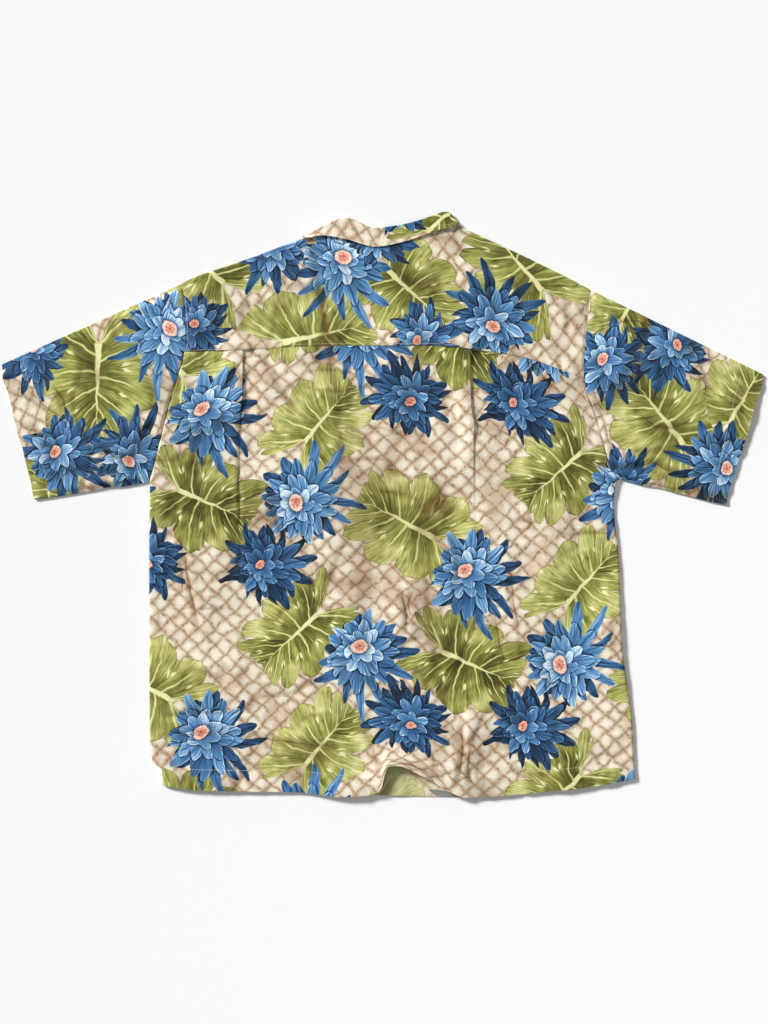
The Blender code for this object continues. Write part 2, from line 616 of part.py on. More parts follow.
def sleeve(side):
    """Flattened tube: closed rings from the armhole to the cuff, folded at top and underarm."""
    seam = armhole(side).copy()
    seam[:, 0] += side * GAP
    shares = armhole_shares(side)
    cuff = trace(CUFF[side], shares)
    rings = []
    for step in range(SLEEVE_STEPS + 1):
        plan = between(seam, cuff, step / SLEEVE_STEPS)
        run = plan[-1] - plan[0]
        run = run / np.linalg.norm(run)
        x, y = plan.T
        high = upper_height(x, y)
        low = np.full_like(high, HALF)
        ring = [np.array([x[i], y[i], high[i]]) for i in range(len(plan))]
        ring += turn(plan[-1], run, high[-1], low[-1])
        ring += [np.array([x[i], y[i], low[i]]) for i in range(len(plan))][::-1]
        ring += turn(plan[0], -run, low[0], high[0])
        rings.append(ring)
    grid = np.array(rings)
    if side < 0:
        grid = grid[::-1]
    return wall("sleeve_left" if side < 0 else "sleeve_right", grid, wrap=True)


def turn(at, outward, start, end):
    """Points round half a turn of cloth, from one layer's height to the other's."""
    radius, centre = (end - start) / 2, (end + start) / 2
    points = []
    for step in range(1, FOLD_TURNS):
        angle = math.pi * step / FOLD_TURNS
        out = at + outward * abs(radius) * math.sin(angle)
        points.append(np.array([out[0], out[1], centre - radius * math.cos(angle)]))
    return points


# ---------------------------------------------------------------- collar

def leaf_seam(side, place):
    """Neck seam of a front: centre front at 0, strip corner at 1, neck point at 2."""
    centre, corner = np.array([0.0, CENTRE_NECK]), strip_corner(side)
    if place <= 1:
        return between(centre, corner, place)
    return between(corner, np.array(NECK_POINT[side]), place - 1)


def leaf_stations(side):
    """Stations of one front leaf, from the centre front round to the neck point."""
    rows = []
    for place, roll_x, roll_y, free_x, free_y in COLLAR_LEAF:
        seam, left_seam = leaf_seam(side, place), leaf_seam(-1, place)
        slide_x, slide_y = abs(seam[0]) - abs(left_seam[0]), seam[1] - left_seam[1]
        rows.append((place, side * (roll_x + slide_x), roll_y + slide_y,
                     side * (free_x + slide_x), free_y + slide_y))
    rows.append((2.0, *COLLAR_SIDE[side]))
    stations = []
    for place in LEAF_PLACES:
        roll_and_free = [float(table(rows, i, place)) for i in range(1, 5)]
        stations.append((np.array([*leaf_seam(side, place), *roll_and_free]), -90.0))
    last = stations[-1][0]
    last[:2] += NECK_EASE * (last[2:4] - last[:2]) / np.linalg.norm(last[2:4] - last[:2])
    return stations + [(last, -90.0 + 180.0 * i / FOLD_TURNS) for i in range(1, FOLD_TURNS + 1)]


def collar_stations():
    """Stations round the neck: seam, roll and free edge in plan, and the angle round the fold."""
    behind = [(np.array([x, neck_seam(x), x, table(COLLAR_BACK, 2, x), x, table(COLLAR_BACK, 3, x)]),
               90.0) for x in NECK_X[1:-1]]
    return leaf_stations(-1) + behind + leaf_stations(+1)[::-1]


def roll_slants(stations):
    """How much wider the roll is along its section where the roll line runs slantwise to it."""
    slants = []
    for i, (plan, angle) in enumerate(stations):
        section = plan[2:4] - plan[0:2]
        least = 1.0
        for near in stations[max(0, i - 1):i] + stations[i + 1:i + 2]:
            way = near[0][2:4] - plan[2:4]
            if near[1] == angle and np.linalg.norm(way) > 0:
                cross = abs(way[0] * section[1] - way[1] * section[0])
                least = min(least, cross / np.linalg.norm(way) / np.linalg.norm(section))
        slants.append(1 / max(least, LEAST_SLANT))
    return slants


def collar_section(seam, roll, free, front, slant):
    """Plan points of stand, roll and fall, each with how far out of the stand's level it lies.

    The roll stands proud of the fall behind and at the sides. In front, where the fall lies on
    the surface, it is the stand that rises instead.
    """
    run = (roll - seam) / np.linalg.norm(roll - seam)
    sunk = (2 * ROLL_RADIUS - LAYER) * front
    reach = ROLL_RADIUS * slant
    crown = roll - run * reach
    start = seam + run * GAP
    section = [(between(start, crown, share), -sunk * share**2) for share in STAND_SHARES]
    for step in range(1, FOLD_TURNS):
        bend_angle = math.pi * step / FOLD_TURNS
        section.append((crown + run * reach * math.sin(bend_angle),
                        ROLL_RADIUS * (1 - math.cos(bend_angle)) - sunk))
    proud = 2 * ROLL_RADIUS - LAYER - sunk
    section += [(between(crown, free, share), LAYER + proud * (1 - share)**2)
                for share in FALL_SHARES]
    return section


def collar_square(side):
    """Unit vector square to the fall where it goes round the shoulder fold."""
    roll, free = np.array(COLLAR_SIDE[side][:2]), np.array(COLLAR_SIDE[side][2:])
    along = (roll - free) / np.linalg.norm(roll - free)
    return np.array([along[1], -along[0]]) * side


def collar():
    """Collar band: stand, roll and fall, on the back's level behind and under the fronts before."""
    low = float(lower_height(np.array(0.0), np.array(CENTRE_NECK)))
    centre = (STAND_HEIGHT + low) / 2
    spread = STAND_HEIGHT - centre
    grid = []
    stations = collar_stations()
    for (plan, angle), slant in zip(stations, roll_slants(stations)):
        seam, roll, free = plan[0:2], plan[2:4], plan[4:6]
        side = -1 if seam[0] < 0 else +1
        up, out = math.sin(math.radians(angle)), math.cos(math.radians(angle))
        section = collar_section(seam, roll, free, max(0.0, -up), slant)
        squares = [shoulder_axis(side)[1]] + [collar_square(side)] * (len(section) - 1)
        grid.append([(*(place + square * (spread + outward) * out), centre + (spread + outward) * up)
                     for (place, outward), square in zip(section, squares)])
    return wall("collar", np.array(grid))


# ---------------------------------------------------------------- buttons

def button(index):
    """Round shirt button lying face down, its rim on the surface."""
    y = BUTTON_TOP - index * BUTTON_PITCH
    points = [(0.0, y, BUTTON_PROFILE[0][1])]
    for radius, height in BUTTON_PROFILE:
        for step in range(BUTTON_SIDES):
            angle = 2 * math.pi * step / BUTTON_SIDES
            points.append((radius * math.cos(angle), y + radius * math.sin(angle), height))
    points.append((0.0, y, BUTTON_THICK))
    last = len(points) - 1
    faces = []
    for step in range(BUTTON_SIDES):
        after = (step + 1) % BUTTON_SIDES
        faces.append((0, 1 + after, 1 + step))
        for ring in range(len(BUTTON_PROFILE) - 1):
            low, high = 1 + ring * BUTTON_SIDES, 1 + (ring + 1) * BUTTON_SIDES
            faces.append((low + step, low + after, high + after, high + step))
        top = 1 + (len(BUTTON_PROFILE) - 1) * BUTTON_SIDES
        faces.append((top + step, top + after, last))
    return solid(f"button_{index + 1}", points, faces)


def main():
    for old in list(bpy.data.objects):
        bpy.data.objects.remove(old, do_unlink=True)
    back()
    yoke()
    for side in (-1, +1):
        front(side)
        sleeve(side)
    collar()
    for index in range(BUTTON_COUNT):
        button(index)


main()
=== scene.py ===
import functools
import math

import bpy
import numpy as np
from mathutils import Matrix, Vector


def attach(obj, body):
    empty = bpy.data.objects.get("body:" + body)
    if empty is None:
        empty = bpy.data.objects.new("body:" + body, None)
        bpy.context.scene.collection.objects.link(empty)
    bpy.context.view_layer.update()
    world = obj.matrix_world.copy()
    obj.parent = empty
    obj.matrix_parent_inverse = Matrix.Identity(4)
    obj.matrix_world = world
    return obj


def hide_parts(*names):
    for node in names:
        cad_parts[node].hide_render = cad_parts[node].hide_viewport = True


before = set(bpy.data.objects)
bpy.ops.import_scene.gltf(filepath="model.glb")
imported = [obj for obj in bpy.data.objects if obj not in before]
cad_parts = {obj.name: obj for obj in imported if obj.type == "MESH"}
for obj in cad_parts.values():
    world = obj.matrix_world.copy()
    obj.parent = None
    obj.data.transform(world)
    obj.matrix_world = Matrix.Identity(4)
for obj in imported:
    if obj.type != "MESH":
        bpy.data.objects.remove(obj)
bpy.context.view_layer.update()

# Aloha shirt laid flat on its front. Each piece of cloth is a thin shell on the form of its CAD
# solid: same outlines and layer heights as the part's source, finer steps, creases and sewing.
# Tables and grids are in millimetres; meshes are made in metres.

MM = 0.001

# Cloth
THICK = 0.5            # of every cloth shell
GAP = 0.3              # clearance between two pieces at a seam
LAYER = 1.4            # height from one cloth layer's middle to the next
LOW = 0.55             # middle of the lowest layer
REST = 2.6             # middle of the upper layer where nothing lifts it
CLEAR = 0.02           # least height of anything over the floor

# Steps of the panels' grids
HEM_STEPS = 12
SIDE_STEPS = 112
ARMHOLE_STEPS = 56
STRIP_STEPS = 12       # on the armhole across the yoke's strip
YOKE_STEPS = 36
SEAM_STATION = STRIP_STEPS + YOKE_STEPS
SLEEVE_STEPS = 64
FOLD_TURNS = 8
PIT_ROW = HEM_STEPS + SIDE_STEPS + 1
SEAM_ROW = PIT_ROW + ARMHOLE_STEPS
TUCK_ROWS = 3
FINE_STEPS = 200       # for places on the armhole's curve

# Shoulders, armholes and cuffs
STRIP = 28             # how far the yoke reaches over the shoulder onto the fronts
HEM_BAND = 28          # depth of the hem
HEM_FADE = 140         # height over which the hem's curve straightens out
PIT_STEP = 3           # last side row below the pit
HEM_TURNED = 0.35      # how much the doubled cloth of a hem stands up
CUFF_BAND = 26         # depth of a sleeve's hem
YOKE_COLUMNS = 56      # from either armhole to the neck
STRIP_ROWS = 9

# Outline tables, one row for each point: x, y
ARMHOLE = {
    -1: ((-280, 311), (-275, 234), (-297, 150), (-325.5, 36)),
    +1: ((290, 303), (281, 185), (300, 122), (321, 52), (330, 40)),
}
YOKE_END = {-1: 217, +1: 180.5}  # y of the yoke seam at each armhole
CUFF = {-1: ((-533.8, 197.5), (-510, 104), (-486, 11.5)),
        +1: ((533.8, 183.5), (507, 92), (479, 4.5))}
NECK_POINT = {-1: (-101.5, 377), +1: (96.8, 396.5)}  # shoulder fold meets the collar

# Side edges from hem to pit: y, x
SIDE = {
    -1: ((-389, -307.5), (-368, -308.5), (-356, -322), (-330, -325.5),
         (-100, -326.5), (36, -325.5)),
    +1: ((-379.5, 353.5), (-361, 352), (-294, 349), (-245, 342), (-200, 336),
         (-74, 331), (8, 323.5), (28, 326.5), (40, 330)),
}

# Curves across the body: x, y
YOKE_SEAM = ((-290, 216.5), (-199.5, 219.8), (-73.5, 225.4), (52.5, 225.4), (192.5, 210),
             (248.5, 191.8), (285, 178))
HEM = ((-308, -389), (-255.5, -396), (-115.5, -399), (-52.5, -405), (-14, -403),
       (60, -405), (122.5, -405.5), (248.5, -396), (304.5, -389), (354, -379.5))

# Where the back's hem has flipped up off the front: x, how far it draws back, how far it lifts
HEM_FLIP = ((-20, 0, 0), (-4, 6, 3), (8, 42, 7), (24, 43, 6.5),
            (48, 33, 5), (66, 25, 3.5), (90, 9, 1.2), (112, 0, 0))
# How much of the flip a row takes: height above the hem, share of the draw, share of the lift
FLIP_FADE = ((0, 1, 1), (15, 0.72, 0.95), (28, 0.45, 0.6), (60, 0.12, 0.15),
             (95, 0, 0))

# Collar behind: x, y of the neck seam, y of the roll line, y of the fall's free edge
COLLAR_BACK = ((-99.5, 377.4, 383.5, 376.2), (-86, 380, 391.5, 379), (-52, 376.5, 404, 374),
               (-10, 366.5, 390, 363.5), (30, 373, 395, 370.5),
               (66, 384.5, 405.5, 382.5), (84, 391, 412, 388.5))
FALL_LIFT = ((-110, 3.2), (-60, 2.4), (-10, 0.5), (30, 0.5), (70, 2.2), (100, 3.2))  # x, lift
# Collar, front leaf: place along the neckline (0 centre front, 1 shoulder strip), distance of the
# roll from the centre line, y of the roll, then the same for the free edge
COLLAR_LEAF = ((0.07, 5, 297, 62, 222), (0.40, 34, 320, 94, 262),
               (0.72, 62, 340, 115, 302), (1.00, 85, 358.5, 119, 340))
LEAF_PLACES = (*np.linspace(0.07, 1, 30), *np.linspace(1, 2, 14)[1:])
# Collar at the neck points: x, y of the roll, x, y of the fall's free edge
COLLAR_SIDE = {-1: (-99.5, 382.5, -110.5, 375), +1: (92.5, 409, 104.3, 394.4)}
NECK_EASE = 0.2        # extra clearance between collar and yoke at the neck points
NECK_STEPS = 64
STAND_HEIGHT = 4.6     # middle of the stand where it lies on the yoke's level
ROLL_RADIUS = 1.2      # of the cloth's middle round the roll line
STAND_SHARES = tuple(np.linspace(0, 1, 9))
FALL_SHARES = tuple(np.linspace(0, 1, 15))
LEAST_SLANT = 0.35     # sine of the roll line's angle to its section, at its smallest
# Fronts
CENTRE_NECK = 285      # y of the neckline at the centre front
OVERLAP = 15           # each front reaches this far past the centre line
BUTTON_THICK = 2
BUTTON_TOP = 250
BUTTON_PITCH = 95
BUTTON_COUNT = 6
PLACKET_LIFT = BUTTON_THICK + GAP  # the outer front rides over its buttons
PLACKET_FADE = (70, 18)            # distances below the last button where the ride starts, is full
OUTER_RISE = (44, 17)              # distances from the centre line where the outer front rises
INNER_RISE = (50, 19)              # the same for the inner front, which lies on it

# Where a collar leaf lies under the fronts: |x| outside and inside its edge, y below and above it
LEAF_COVER = ((200, 156), (150, 192))
# What lifts the upper layer: height, then |x| and y where each lift starts and where it is full
LIFTS = ((3.3, (200, 30), (335, 262)),     # the doubled plackets
         (1.1, (215, 126), (262, 345)),    # the neck
         (0.9, (250, 160), (120, 190)))    # the collar's leaves
# Pleats under the yoke, left then right: y, x down each fold's edge
PLEATS = (
    ((225, -195), (205, -195), (60, -197), (-75, -199.5), (-405, -206)),
    ((225, 122), (150, 124), (120, 130), (20, 131), (-405, 142)),
)
# How a pleat opens: distance below the yoke seam, depth of the fold, how closed it is (1 = flat)
PLEAT_OPENING = ((-10, 10, 1), (30, 9, 1), (60, 5, 1), (85, 1.2, 0.90),
                 (110, 0.6, 0.32), (160, 0.5, 0.14), (240, 0.5, 0.05), (330, 0.5, 0),
                 (900, 0.5, 0))
PLEAT_RADIUS = 0.75
PLEAT_TOP = 222        # y that PLEAT_OPENING counts down from
# Columns before a pleat, by distance from it, and after it
PLEAT_APPROACH = (26, 23, 20, 17, 14.5, 12, 10, 8, 6, 4, 2.5, 1.2)
PLEAT_LEAVING = (1, 2.5, 4.5, 7, 9.5)
PLEAT_CLIMB = (24, 4)  # distances before it where the cloth starts to rise, is up
STEEP_PLEAT = 1.5      # the left pleat opens this much sooner
PLEAT_PLACE = 0.45     # share of a row's length where its height is read for pleats
ROW_BOW = 22           # how far rows above the pit bow up there

# Yoke over the back's edge
YOKE_LEDGE = THICK + 0.45       # height of its lower edge above the back's
PLEAT_CREST = 4 * PLEAT_RADIUS  # height of a closed pleat's top layer above its exit
CREST_FOOT = (42, 18)           # where the yoke starts to rise over a pleat, either side
CREST_TOP = (22, 4)             # where it is fully up
SLEEVE_BLEND = 45               # near the armhole the shoulder's roll turns the sleeve's way
# Columns of the fronts
FRONT_INSET = 1.7      # side edges end inside the back's rolled edge
FRONT_SIDE_COLUMNS = 46
PLACKET_COLUMNS = 30
# Largest folds of the upper layer: x and y of both ends, half width, height
FOLDS = (
    (-277, -53, -255, -172, 17, 1.5),
    (178, -92, 191, -175, 16, 1.2),
    (127, -300, 103, -380, 17, 1.6),
    (214, 184, 246, 156, 15, 1.3),
    (-195, -322, -52, -337, 16, 1.2),
    (-505, 120, -430, 60, 17, 1.6),
    (-470, 165, -390, 130, 18, 1.3),
    (400, 60, 465, 30, 17, 1.8),
    (420, 120, 490, 95, 18, 1.3),
)
# Columns of the back: rolled edge (inset of the cloth's middle, share of the layer's height), flat
# edge at the armhole, and plain columns left of, between and right of the pleats
SIDE_LIP = ((0.30, 0), (0.30, 0.22), (0.45, 0.45), (0.9, 0.68), (1.7, 0.85), (3, 0.95),
            (5, 0.99), (8, 1))
FLAT_LIP = ((0, 1), (0.8, 1), (1.6, 1), (2.4, 1), (3.2, 1), (4.4, 1), (6, 1), (8, 1))
SIDE_FOOT = 0.3        # middle of the cloth where the rolled edge ends
LEFT_COLUMNS = 34
MIDDLE_COLUMNS = 80
RIGHT_COLUMNS = 56


# ---------------------------------------------------------------- curves and easing

def smooth(keys, values, where):
    """Cubic through a table's values that never overshoots between two rows."""
    keys = np.asarray(keys, float)
    values = np.asarray(values, float)
    step = np.diff(keys)
    slope = np.diff(values) / step
    tangent = np.zeros_like(values)
    product = slope[1:] * slope[:-1]
    total = np.where(product > 0, slope[1:] + slope[:-1], 1)
    tangent[1:-1] = np.where(product > 0, 2 * product / total, 0)
    tangent[0], tangent[-1] = slope[0], slope[-1]
    where = np.clip(np.asarray(where, float), keys[0], keys[-1])
    index = np.clip(np.searchsorted(keys, where, side="right") - 1, 0, len(step) - 1)
    width = step[index]
    t = (where - keys[index]) / width
    rise = 3 * t**2 - 2 * t**3
    return (values[index] * (1 - rise) + values[index + 1] * rise
            + width * (tangent[index] * (t**3 - 2 * t**2 + t)
                       + tangent[index + 1] * (t**3 - t**2)))


def table(rows, column, where):
    """Column of a table whose first column is the key, read at `where`."""
    data = np.array(sorted(rows))
    return smooth(data[:, 0], data[:, column], where)


def walked(points, axis):
    """Length walked along one axis of a grid."""
    step = np.linalg.norm(np.diff(points, axis=axis), axis=-1)
    start = np.zeros_like(np.take(step, [0], axis=axis))
    return np.concatenate([start, np.cumsum(step, axis=axis)], axis=axis)


def trace(points, shares):
    """Points on a smooth curve through `points`, at shares of its length."""
    points = np.array(points, float)
    length = walked(points, 0)
    where = np.asarray(shares) * length[-1]
    return np.stack([smooth(length, column, where) for column in points.T], axis=-1)


def ease(value, start, end):
    """0 at `start`, 1 at `end`, smooth between; the ends may run either way."""
    t = np.clip((np.asarray(value, float) - start) / (end - start), 0, 1)
    return t * t * (3 - 2 * t)


def between(start, end, share):
    """Straight blend of two values or points."""
    return start + (end - start) * share


def chord(start, end, x):
    """y of the straight line between two points."""
    return between(start[1], end[1], (x - start[0]) / (end[0] - start[0]))


def unit(vector):
    """A vector's direction."""
    return vector / np.linalg.norm(vector)


# ---------------------------------------------------------------- layer heights (cloth middles)

def leaf_cover(x, y):
    """1 where a collar leaf lies between the fronts and the surface, easing to 0 around it."""
    return ease(np.abs(x), *LEAF_COVER[0]) * ease(y, *LEAF_COVER[1])


def lower_height(x, y):
    """Fronts and shoulder strip: on the surface, or on the collar's leaves."""
    return LOW + LAYER * leaf_cover(x, y)


def placket_cover(y):
    """1 along the buttons, 0 below the last of them."""
    last = BUTTON_TOP - BUTTON_PITCH * (BUTTON_COUNT - 1)
    return ease(y, last - PLACKET_FADE[0], last - PLACKET_FADE[1])


def front_left_height(x, y):
    """Outer front: rides over the buttons near its edge."""
    placket = LOW + PLACKET_LIFT * placket_cover(y) * ease(np.abs(x), *OUTER_RISE)
    return np.maximum(lower_height(x, y), placket)


def front_right_height(x, y):
    """Inner front: lies on the outer front's overlap, then comes down to the surface."""
    over = front_left_height(np.zeros_like(x), y) + LAYER
    return between(lower_height(x, y), over, ease(x, *INNER_RISE))


def upper_height(x, y):
    """Back, yoke and upper sleeves: clear of what lies below, with the largest folds."""
    height = REST + sum(lift * ease(np.abs(x), *across) * ease(y, *along)
                        for lift, across, along in LIFTS)
    for x0, y0, x1, y1, half_width, rise in FOLDS:
        along = ((x - x0) * (x1 - x0) + (y - y0) * (y1 - y0)) / ((x1 - x0)**2 + (y1 - y0)**2)
        nearest = np.clip(along, 0, 1)
        off = np.hypot(x - between(x0, x1, nearest), y - between(y0, y1, nearest))
        height = height + rise * np.exp(-(off / half_width)**2)
    return height


# ---------------------------------------------------------------- shared seam lines

def armhole_shares(side):
    """Shares of the armhole's length: shoulder, strip edge, yoke seam and on to the pit."""
    shares = np.linspace(0, 1, FINE_STEPS + 1)
    fine = trace(ARMHOLE[side], shares)
    strip = np.interp(STRIP, walked(fine, 0), shares)
    seam = np.interp(-YOKE_END[side], -fine[:, 1], shares)
    return np.concatenate([np.linspace(0, strip, STRIP_STEPS + 1)[:-1],
                           np.linspace(strip, seam, YOKE_STEPS + 1),
                           np.linspace(seam, 1, ARMHOLE_STEPS + 1)[1:]])


def armhole(side):
    """Seam stations from the shoulder fold to the pit."""
    return trace(ARMHOLE[side], armhole_shares(side))


def side_rows(side):
    """Edge points of a body panel from the hem up to the pit."""
    hem_y, pit_y = SIDE[side][0][0], SIDE[side][-1][0]
    heights = np.concatenate([np.linspace(hem_y, hem_y + HEM_BAND, HEM_STEPS + 1)[:-1],
                              np.linspace(hem_y + HEM_BAND, pit_y - PIT_STEP, SIDE_STEPS + 1)])
    return np.stack([table(SIDE[side], 1, heights), heights], axis=-1)


def shoulder_axis(side):
    """Unit vector along the shoulder fold away from the neck, and the one square to it."""
    run = unit(np.array(ARMHOLE[side][0]) - np.array(NECK_POINT[side]))
    return run, np.array([-run[1], run[0]]) * side


def strip_corner(side):
    """Where the yoke's strip on the front meets the neckline."""
    return np.array(NECK_POINT[side]) - STRIP * shoulder_axis(side)[1]


NECK_X = np.linspace(NECK_POINT[-1][0], NECK_POINT[+1][0], NECK_STEPS + 1)


def neck_seam(x):
    """y of the back neckline, in straight chords that yoke and collar share."""
    rows = [NECK_POINT[-1]] + [row[:2] for row in COLLAR_BACK] + [NECK_POINT[+1]]
    return np.interp(x, NECK_X, table(rows, 1, NECK_X))


# ---------------------------------------------------------------- rows of a panel

def bend(x, left, right, curve_y):
    """How far a curve lies above the straight line between a row's ends, nothing at the ends."""
    off = curve_y - chord(left, right, x)
    off[0] = off[-1] = 0
    return off


def above_seam(x, y):
    """Distance from the yoke seam."""
    return y - table(YOKE_SEAM, 1, x)


def body_edge(side):
    """Edge points of a body panel: side seam from the hem, then armhole stations to the top."""
    return np.concatenate([side_rows(side), armhole(side)[::-1]])


# ---------------------------------------------------------------- creases and rumples

# Listed creases of the upper layer: x, y of three points along each, half width, depth
CREASES = (
    (-278, -56, -270, -110, -256, -176, 3.6, 2.6), (-284, -70, -279, -100, -281, -122, 3, 1.6),
    (25, -112, 34, -150, 31, -180, 3.4, 2.1), (41, -118, 36, -136, 42, -158, 3, 1.5),
    (178.5, -80, 183, -135, 193, -180, 3.8, 1.5), (156, -144.2, 163, -190, 175.7, -235, 3.8, 1.3),
    (110, -300, 112, -345, 104, -392, 3.8, 3), (124, -330, 118, -362, 126, -388, 3.2, 1.4),
    (203.7, 208.6, 222, 184, 245.7, 158, 4, 1.9), (292, 158, 300, 140, 309, 126, 3.8, 1.5),
    (-195.3, -320, -140, -327, -52.5, -337.4, 3.8, 2.2),
    (-150, -352, -100, -346, -66, -356, 3.6, 1.4), (10, -352, 44, -360, 84, -380, 3.2, 1.6),
    (180, -362, 200, -374, 236, -378, 3.4, 1.4), (-300, -352, -280, -372, -276, -390, 3.4, 1.5),
    (-330, -312, -250, -318, -200, -312, 4.5, 0.8), (-196.7, 205, -206, 186, -222, 160, 3.4, 2.6),
    (-190, 236, -196, 262, -188, 290, 3.6, 1.6), (-200, 150, -200.5, 40, -198, -74, 3.4, 1.2),
    (326, -160, 322, -182, 327, -204, 4, 1.3), (-498, 166, -470, 140, -438, 118, 4, 2),
    (-505, 120, -470, 96, -452, 60, 4, 1.7), (-430, 214, -404, 196, -388, 168, 3.8, 1.6),
    (-400, 90, -372, 70, -350, 66, 3.8, 1.8), (-330, 196, -318, 160, -322, 130, 3.6, 1.5),
    (372, 224, 392, 190, 388, 160, 3.8, 1.6), (430, 200, 452, 172, 450, 140, 4, 1.6),
    (356, 132, 380, 112, 420, 108, 3.8, 1.6), (186, 320, 196, 290, 190, 262, 4, 1.4),
    (-130, 330, -140, 300, -134, 268, 4, 1.3), (96, -20, 104, -70, 100, -130, 3.8, 1.4),
    (-30, -240, 10, -262, 60, -256, 4, 1.2), (-250, 120, -262, 70, -258, 30, 4, 1.4),
    (-462, 170, -446, 150, -441, 122, 3.8, 1.2), (-388, 268, -374, 252, -366, 236, 4, 1.3),
    (-470, 40, -420, 52, -360, 46, 4.5, 1.3), (-350, 60, -336, 96, -318, 120, 4, 1.4),
    (338, 52, 380, 62, 432, 34, 4, 2), (352, 74, 392, 78, 428, 62, 3.6, 1.4),
    (505, 170, 498, 142, 504, 110, 4, 1.3), (440, 96, 468, 84, 500, 92, 4, 1.2),
    (-240, 300, -228, 262, -232, 236, 4, 1.1), (252, 302, 262, 268, 258, 240, 4, 1.2),
    (120, 330, 150, 296, 160, 262, 4.4, 1), (-60, 344, -30, 300, -26, 262, 4.6, 0.9),
    (-110, -40, -96, -96, -100, -150, 4.2, 0.9), (240, 60, 262, 20, 268, -40, 4.2, 1.1),
    (-300, 40, -286, 4, -288, -30, 4, 1.1), (60, 120, 52, 60, 58, 10, 4.4, 0.8),
    (-60, -200, -48, -250, -54, -300, 4.4, 0.9), (230, -230, 246, -280, 240, -330, 4.4, 1.1),
    (-290, -230, -262, -262, -250, -300, 4.4, 1),
)
# Creases with a thin dark line of painted shade along the bottom, by place in the list above, and
# the line's half width
SHADE_LINE_CREASES = {0: 2.6, 1: 1.4, 2: 2.4, 3: 1.5, 4: 1.6, 5: 1.4, 6: 2.4, 7: 1.4, 8: 1.8, 10: 1.5, 12: 1.5,
         16: 2.2, 18: 1.2, 20: 1.6, 23: 1.5, 26: 1.6, 27: 1.4, 33: 1.5, 37: 1.8}
# Soft rumples over everything: size, height, stretch along the body, seed
RUMPLES = ((150, 2.2, 1.6, 3), (62, 1.9, 1.7, 5), (30, 0.9, 1.5, 7), (13, 0.16, 1.2, 9))
# Thin broken crease lines: size, depth, stretch along the body, seed
CRUMPLES = ((85, 1.2, 2.6, 61), (60, 1, 0.5, 67), (46, 0.8, 1.8, 71))
# Facets between sharp ridges: size, height, stretch along the body, seed
FACETS = ((95, 2.2, 1.4, 81), (52, 1.5, 0.8, 83), (27, 0.7, 1.2, 87))
DEEPEST = 2.3                         # how far relief may press the upper layer down
LOFT = 1.7                            # and what it stands up on average
EDGE_WAVE = 1.8                       # waves in a sleeve's free edges
NECK_CALM = ((150, 118), (338, 360))  # |x| and y over which relief dies out under the collar
CREASE_PAINTED_SHADE = 0.55                    # most painted shade along a listed crease
CRUMPLE_PAINTED_SHADE = 0.62                   # and along a thin broken one
# Ripples beside each seam: height, width, how far they reach from it, seed
PUCKERS = {"hem": (0.40, 9, 13, 21), "hem edge": (0.35, 15, 14, 23), "yoke": (0.30, 10, 16, 25),
           "armhole": (0.25, 9, 9, 27), "side": (0.22, 12, 9, 29), "front hem": (0.12, 8, 8, 41),
           "cuff": (0.30, 8, 9, 51), "cuff edge": (0.25, 12, 12, 53)}
HEM_LINE = 0.8         # half the width over which a hem's doubled cloth steps up
FRONT_HEM = 0.6        # share of HEM_TURNED on the fronts, and below on the sleeves' lower layer
UNDER_CUFF = 0.15
SLEEVE_RELIEF = 1.25      # the sleeves are this much more crumpled
UNDERARM_WAVE = (27, 57)  # length and seed of the waves in the underarm's edge
UNDERARM_FREE = (6, 34)   # and distances from the armhole where they start, are full
CUFF_WAVE = (30, 59)      # the same for the cuff's edge
CUFF_FREE = (46, 0)


def rumple(x, y, size, seed):
    """Smooth uneven surface between -1 and 1."""
    lattice = np.random.RandomState(seed).uniform(-1, 1, (97, 97))
    turn = 0.6 + seed
    u = (x * math.cos(turn) + y * math.sin(turn)) / size + 48
    v = (y * math.cos(turn) - x * math.sin(turn)) / size + 48
    i, j = np.floor(u).astype(int), np.floor(v).astype(int)
    s, t = ease(u - i, 0, 1), ease(v - j, 0, 1)
    i, j = i % 96, j % 96
    return between(between(lattice[i, j], lattice[i + 1, j], s),
                   between(lattice[i, j + 1], lattice[i + 1, j + 1], s), t)


def crease(x, y, row):
    """A trough with softer ridges beside it, fading out at both ends: its height and its share of
    painted shade.
    """
    points, (half_width, depth) = np.reshape(row[:6], (3, 2)), row[6:]
    lengths = np.linalg.norm(np.diff(points, axis=0), axis=1)
    total = lengths.sum()
    best = np.full(np.shape(x), 1e9)
    signed = np.zeros(np.shape(x))
    place = np.zeros(np.shape(x))
    gone = 0
    for start, end, length in zip(points[:-1], points[1:], lengths):
        way = (end - start) / length
        along = (x - start[0]) * way[0] + (y - start[1]) * way[1]
        near = np.clip(along, 0, length)
        off_x, off_y = x - start[0] - near * way[0], y - start[1] - near * way[1]
        far = np.hypot(off_x, off_y)
        closer = far < best
        best = np.where(closer, far, best)
        signed = np.where(closer, np.sign(way[0] * off_y - way[1] * off_x) * far, signed)
        place = np.where(closer, (gone + along) / total, place)
        gone += length
    wide = half_width * (1 + 0.35 * rumple(place * total, 0 * place, 23, 11))
    fade = ease(place, -0.12, 0.22) * ease(place, 1.12, 0.78)
    fade = fade * (1 + 0.3 * rumple(place * total, 0 * place, 17, 13))
    trough = np.exp(-(signed / wide)**2)
    ridge = np.exp(-((signed - 2.1 * wide) / (1.3 * wide))**2) \
        + 0.6 * np.exp(-((signed + 2.3 * wide) / (1.5 * wide))**2)
    # painted shade: how much the colour darkens across the trough
    painted_shade = CREASE_PAINTED_SHADE * np.exp(-(signed / (1.7 * wide))**2)
    return 0.85 * depth * fade * (0.45 * ridge - trough), fade * min(1, 0.65 * depth) * painted_shade


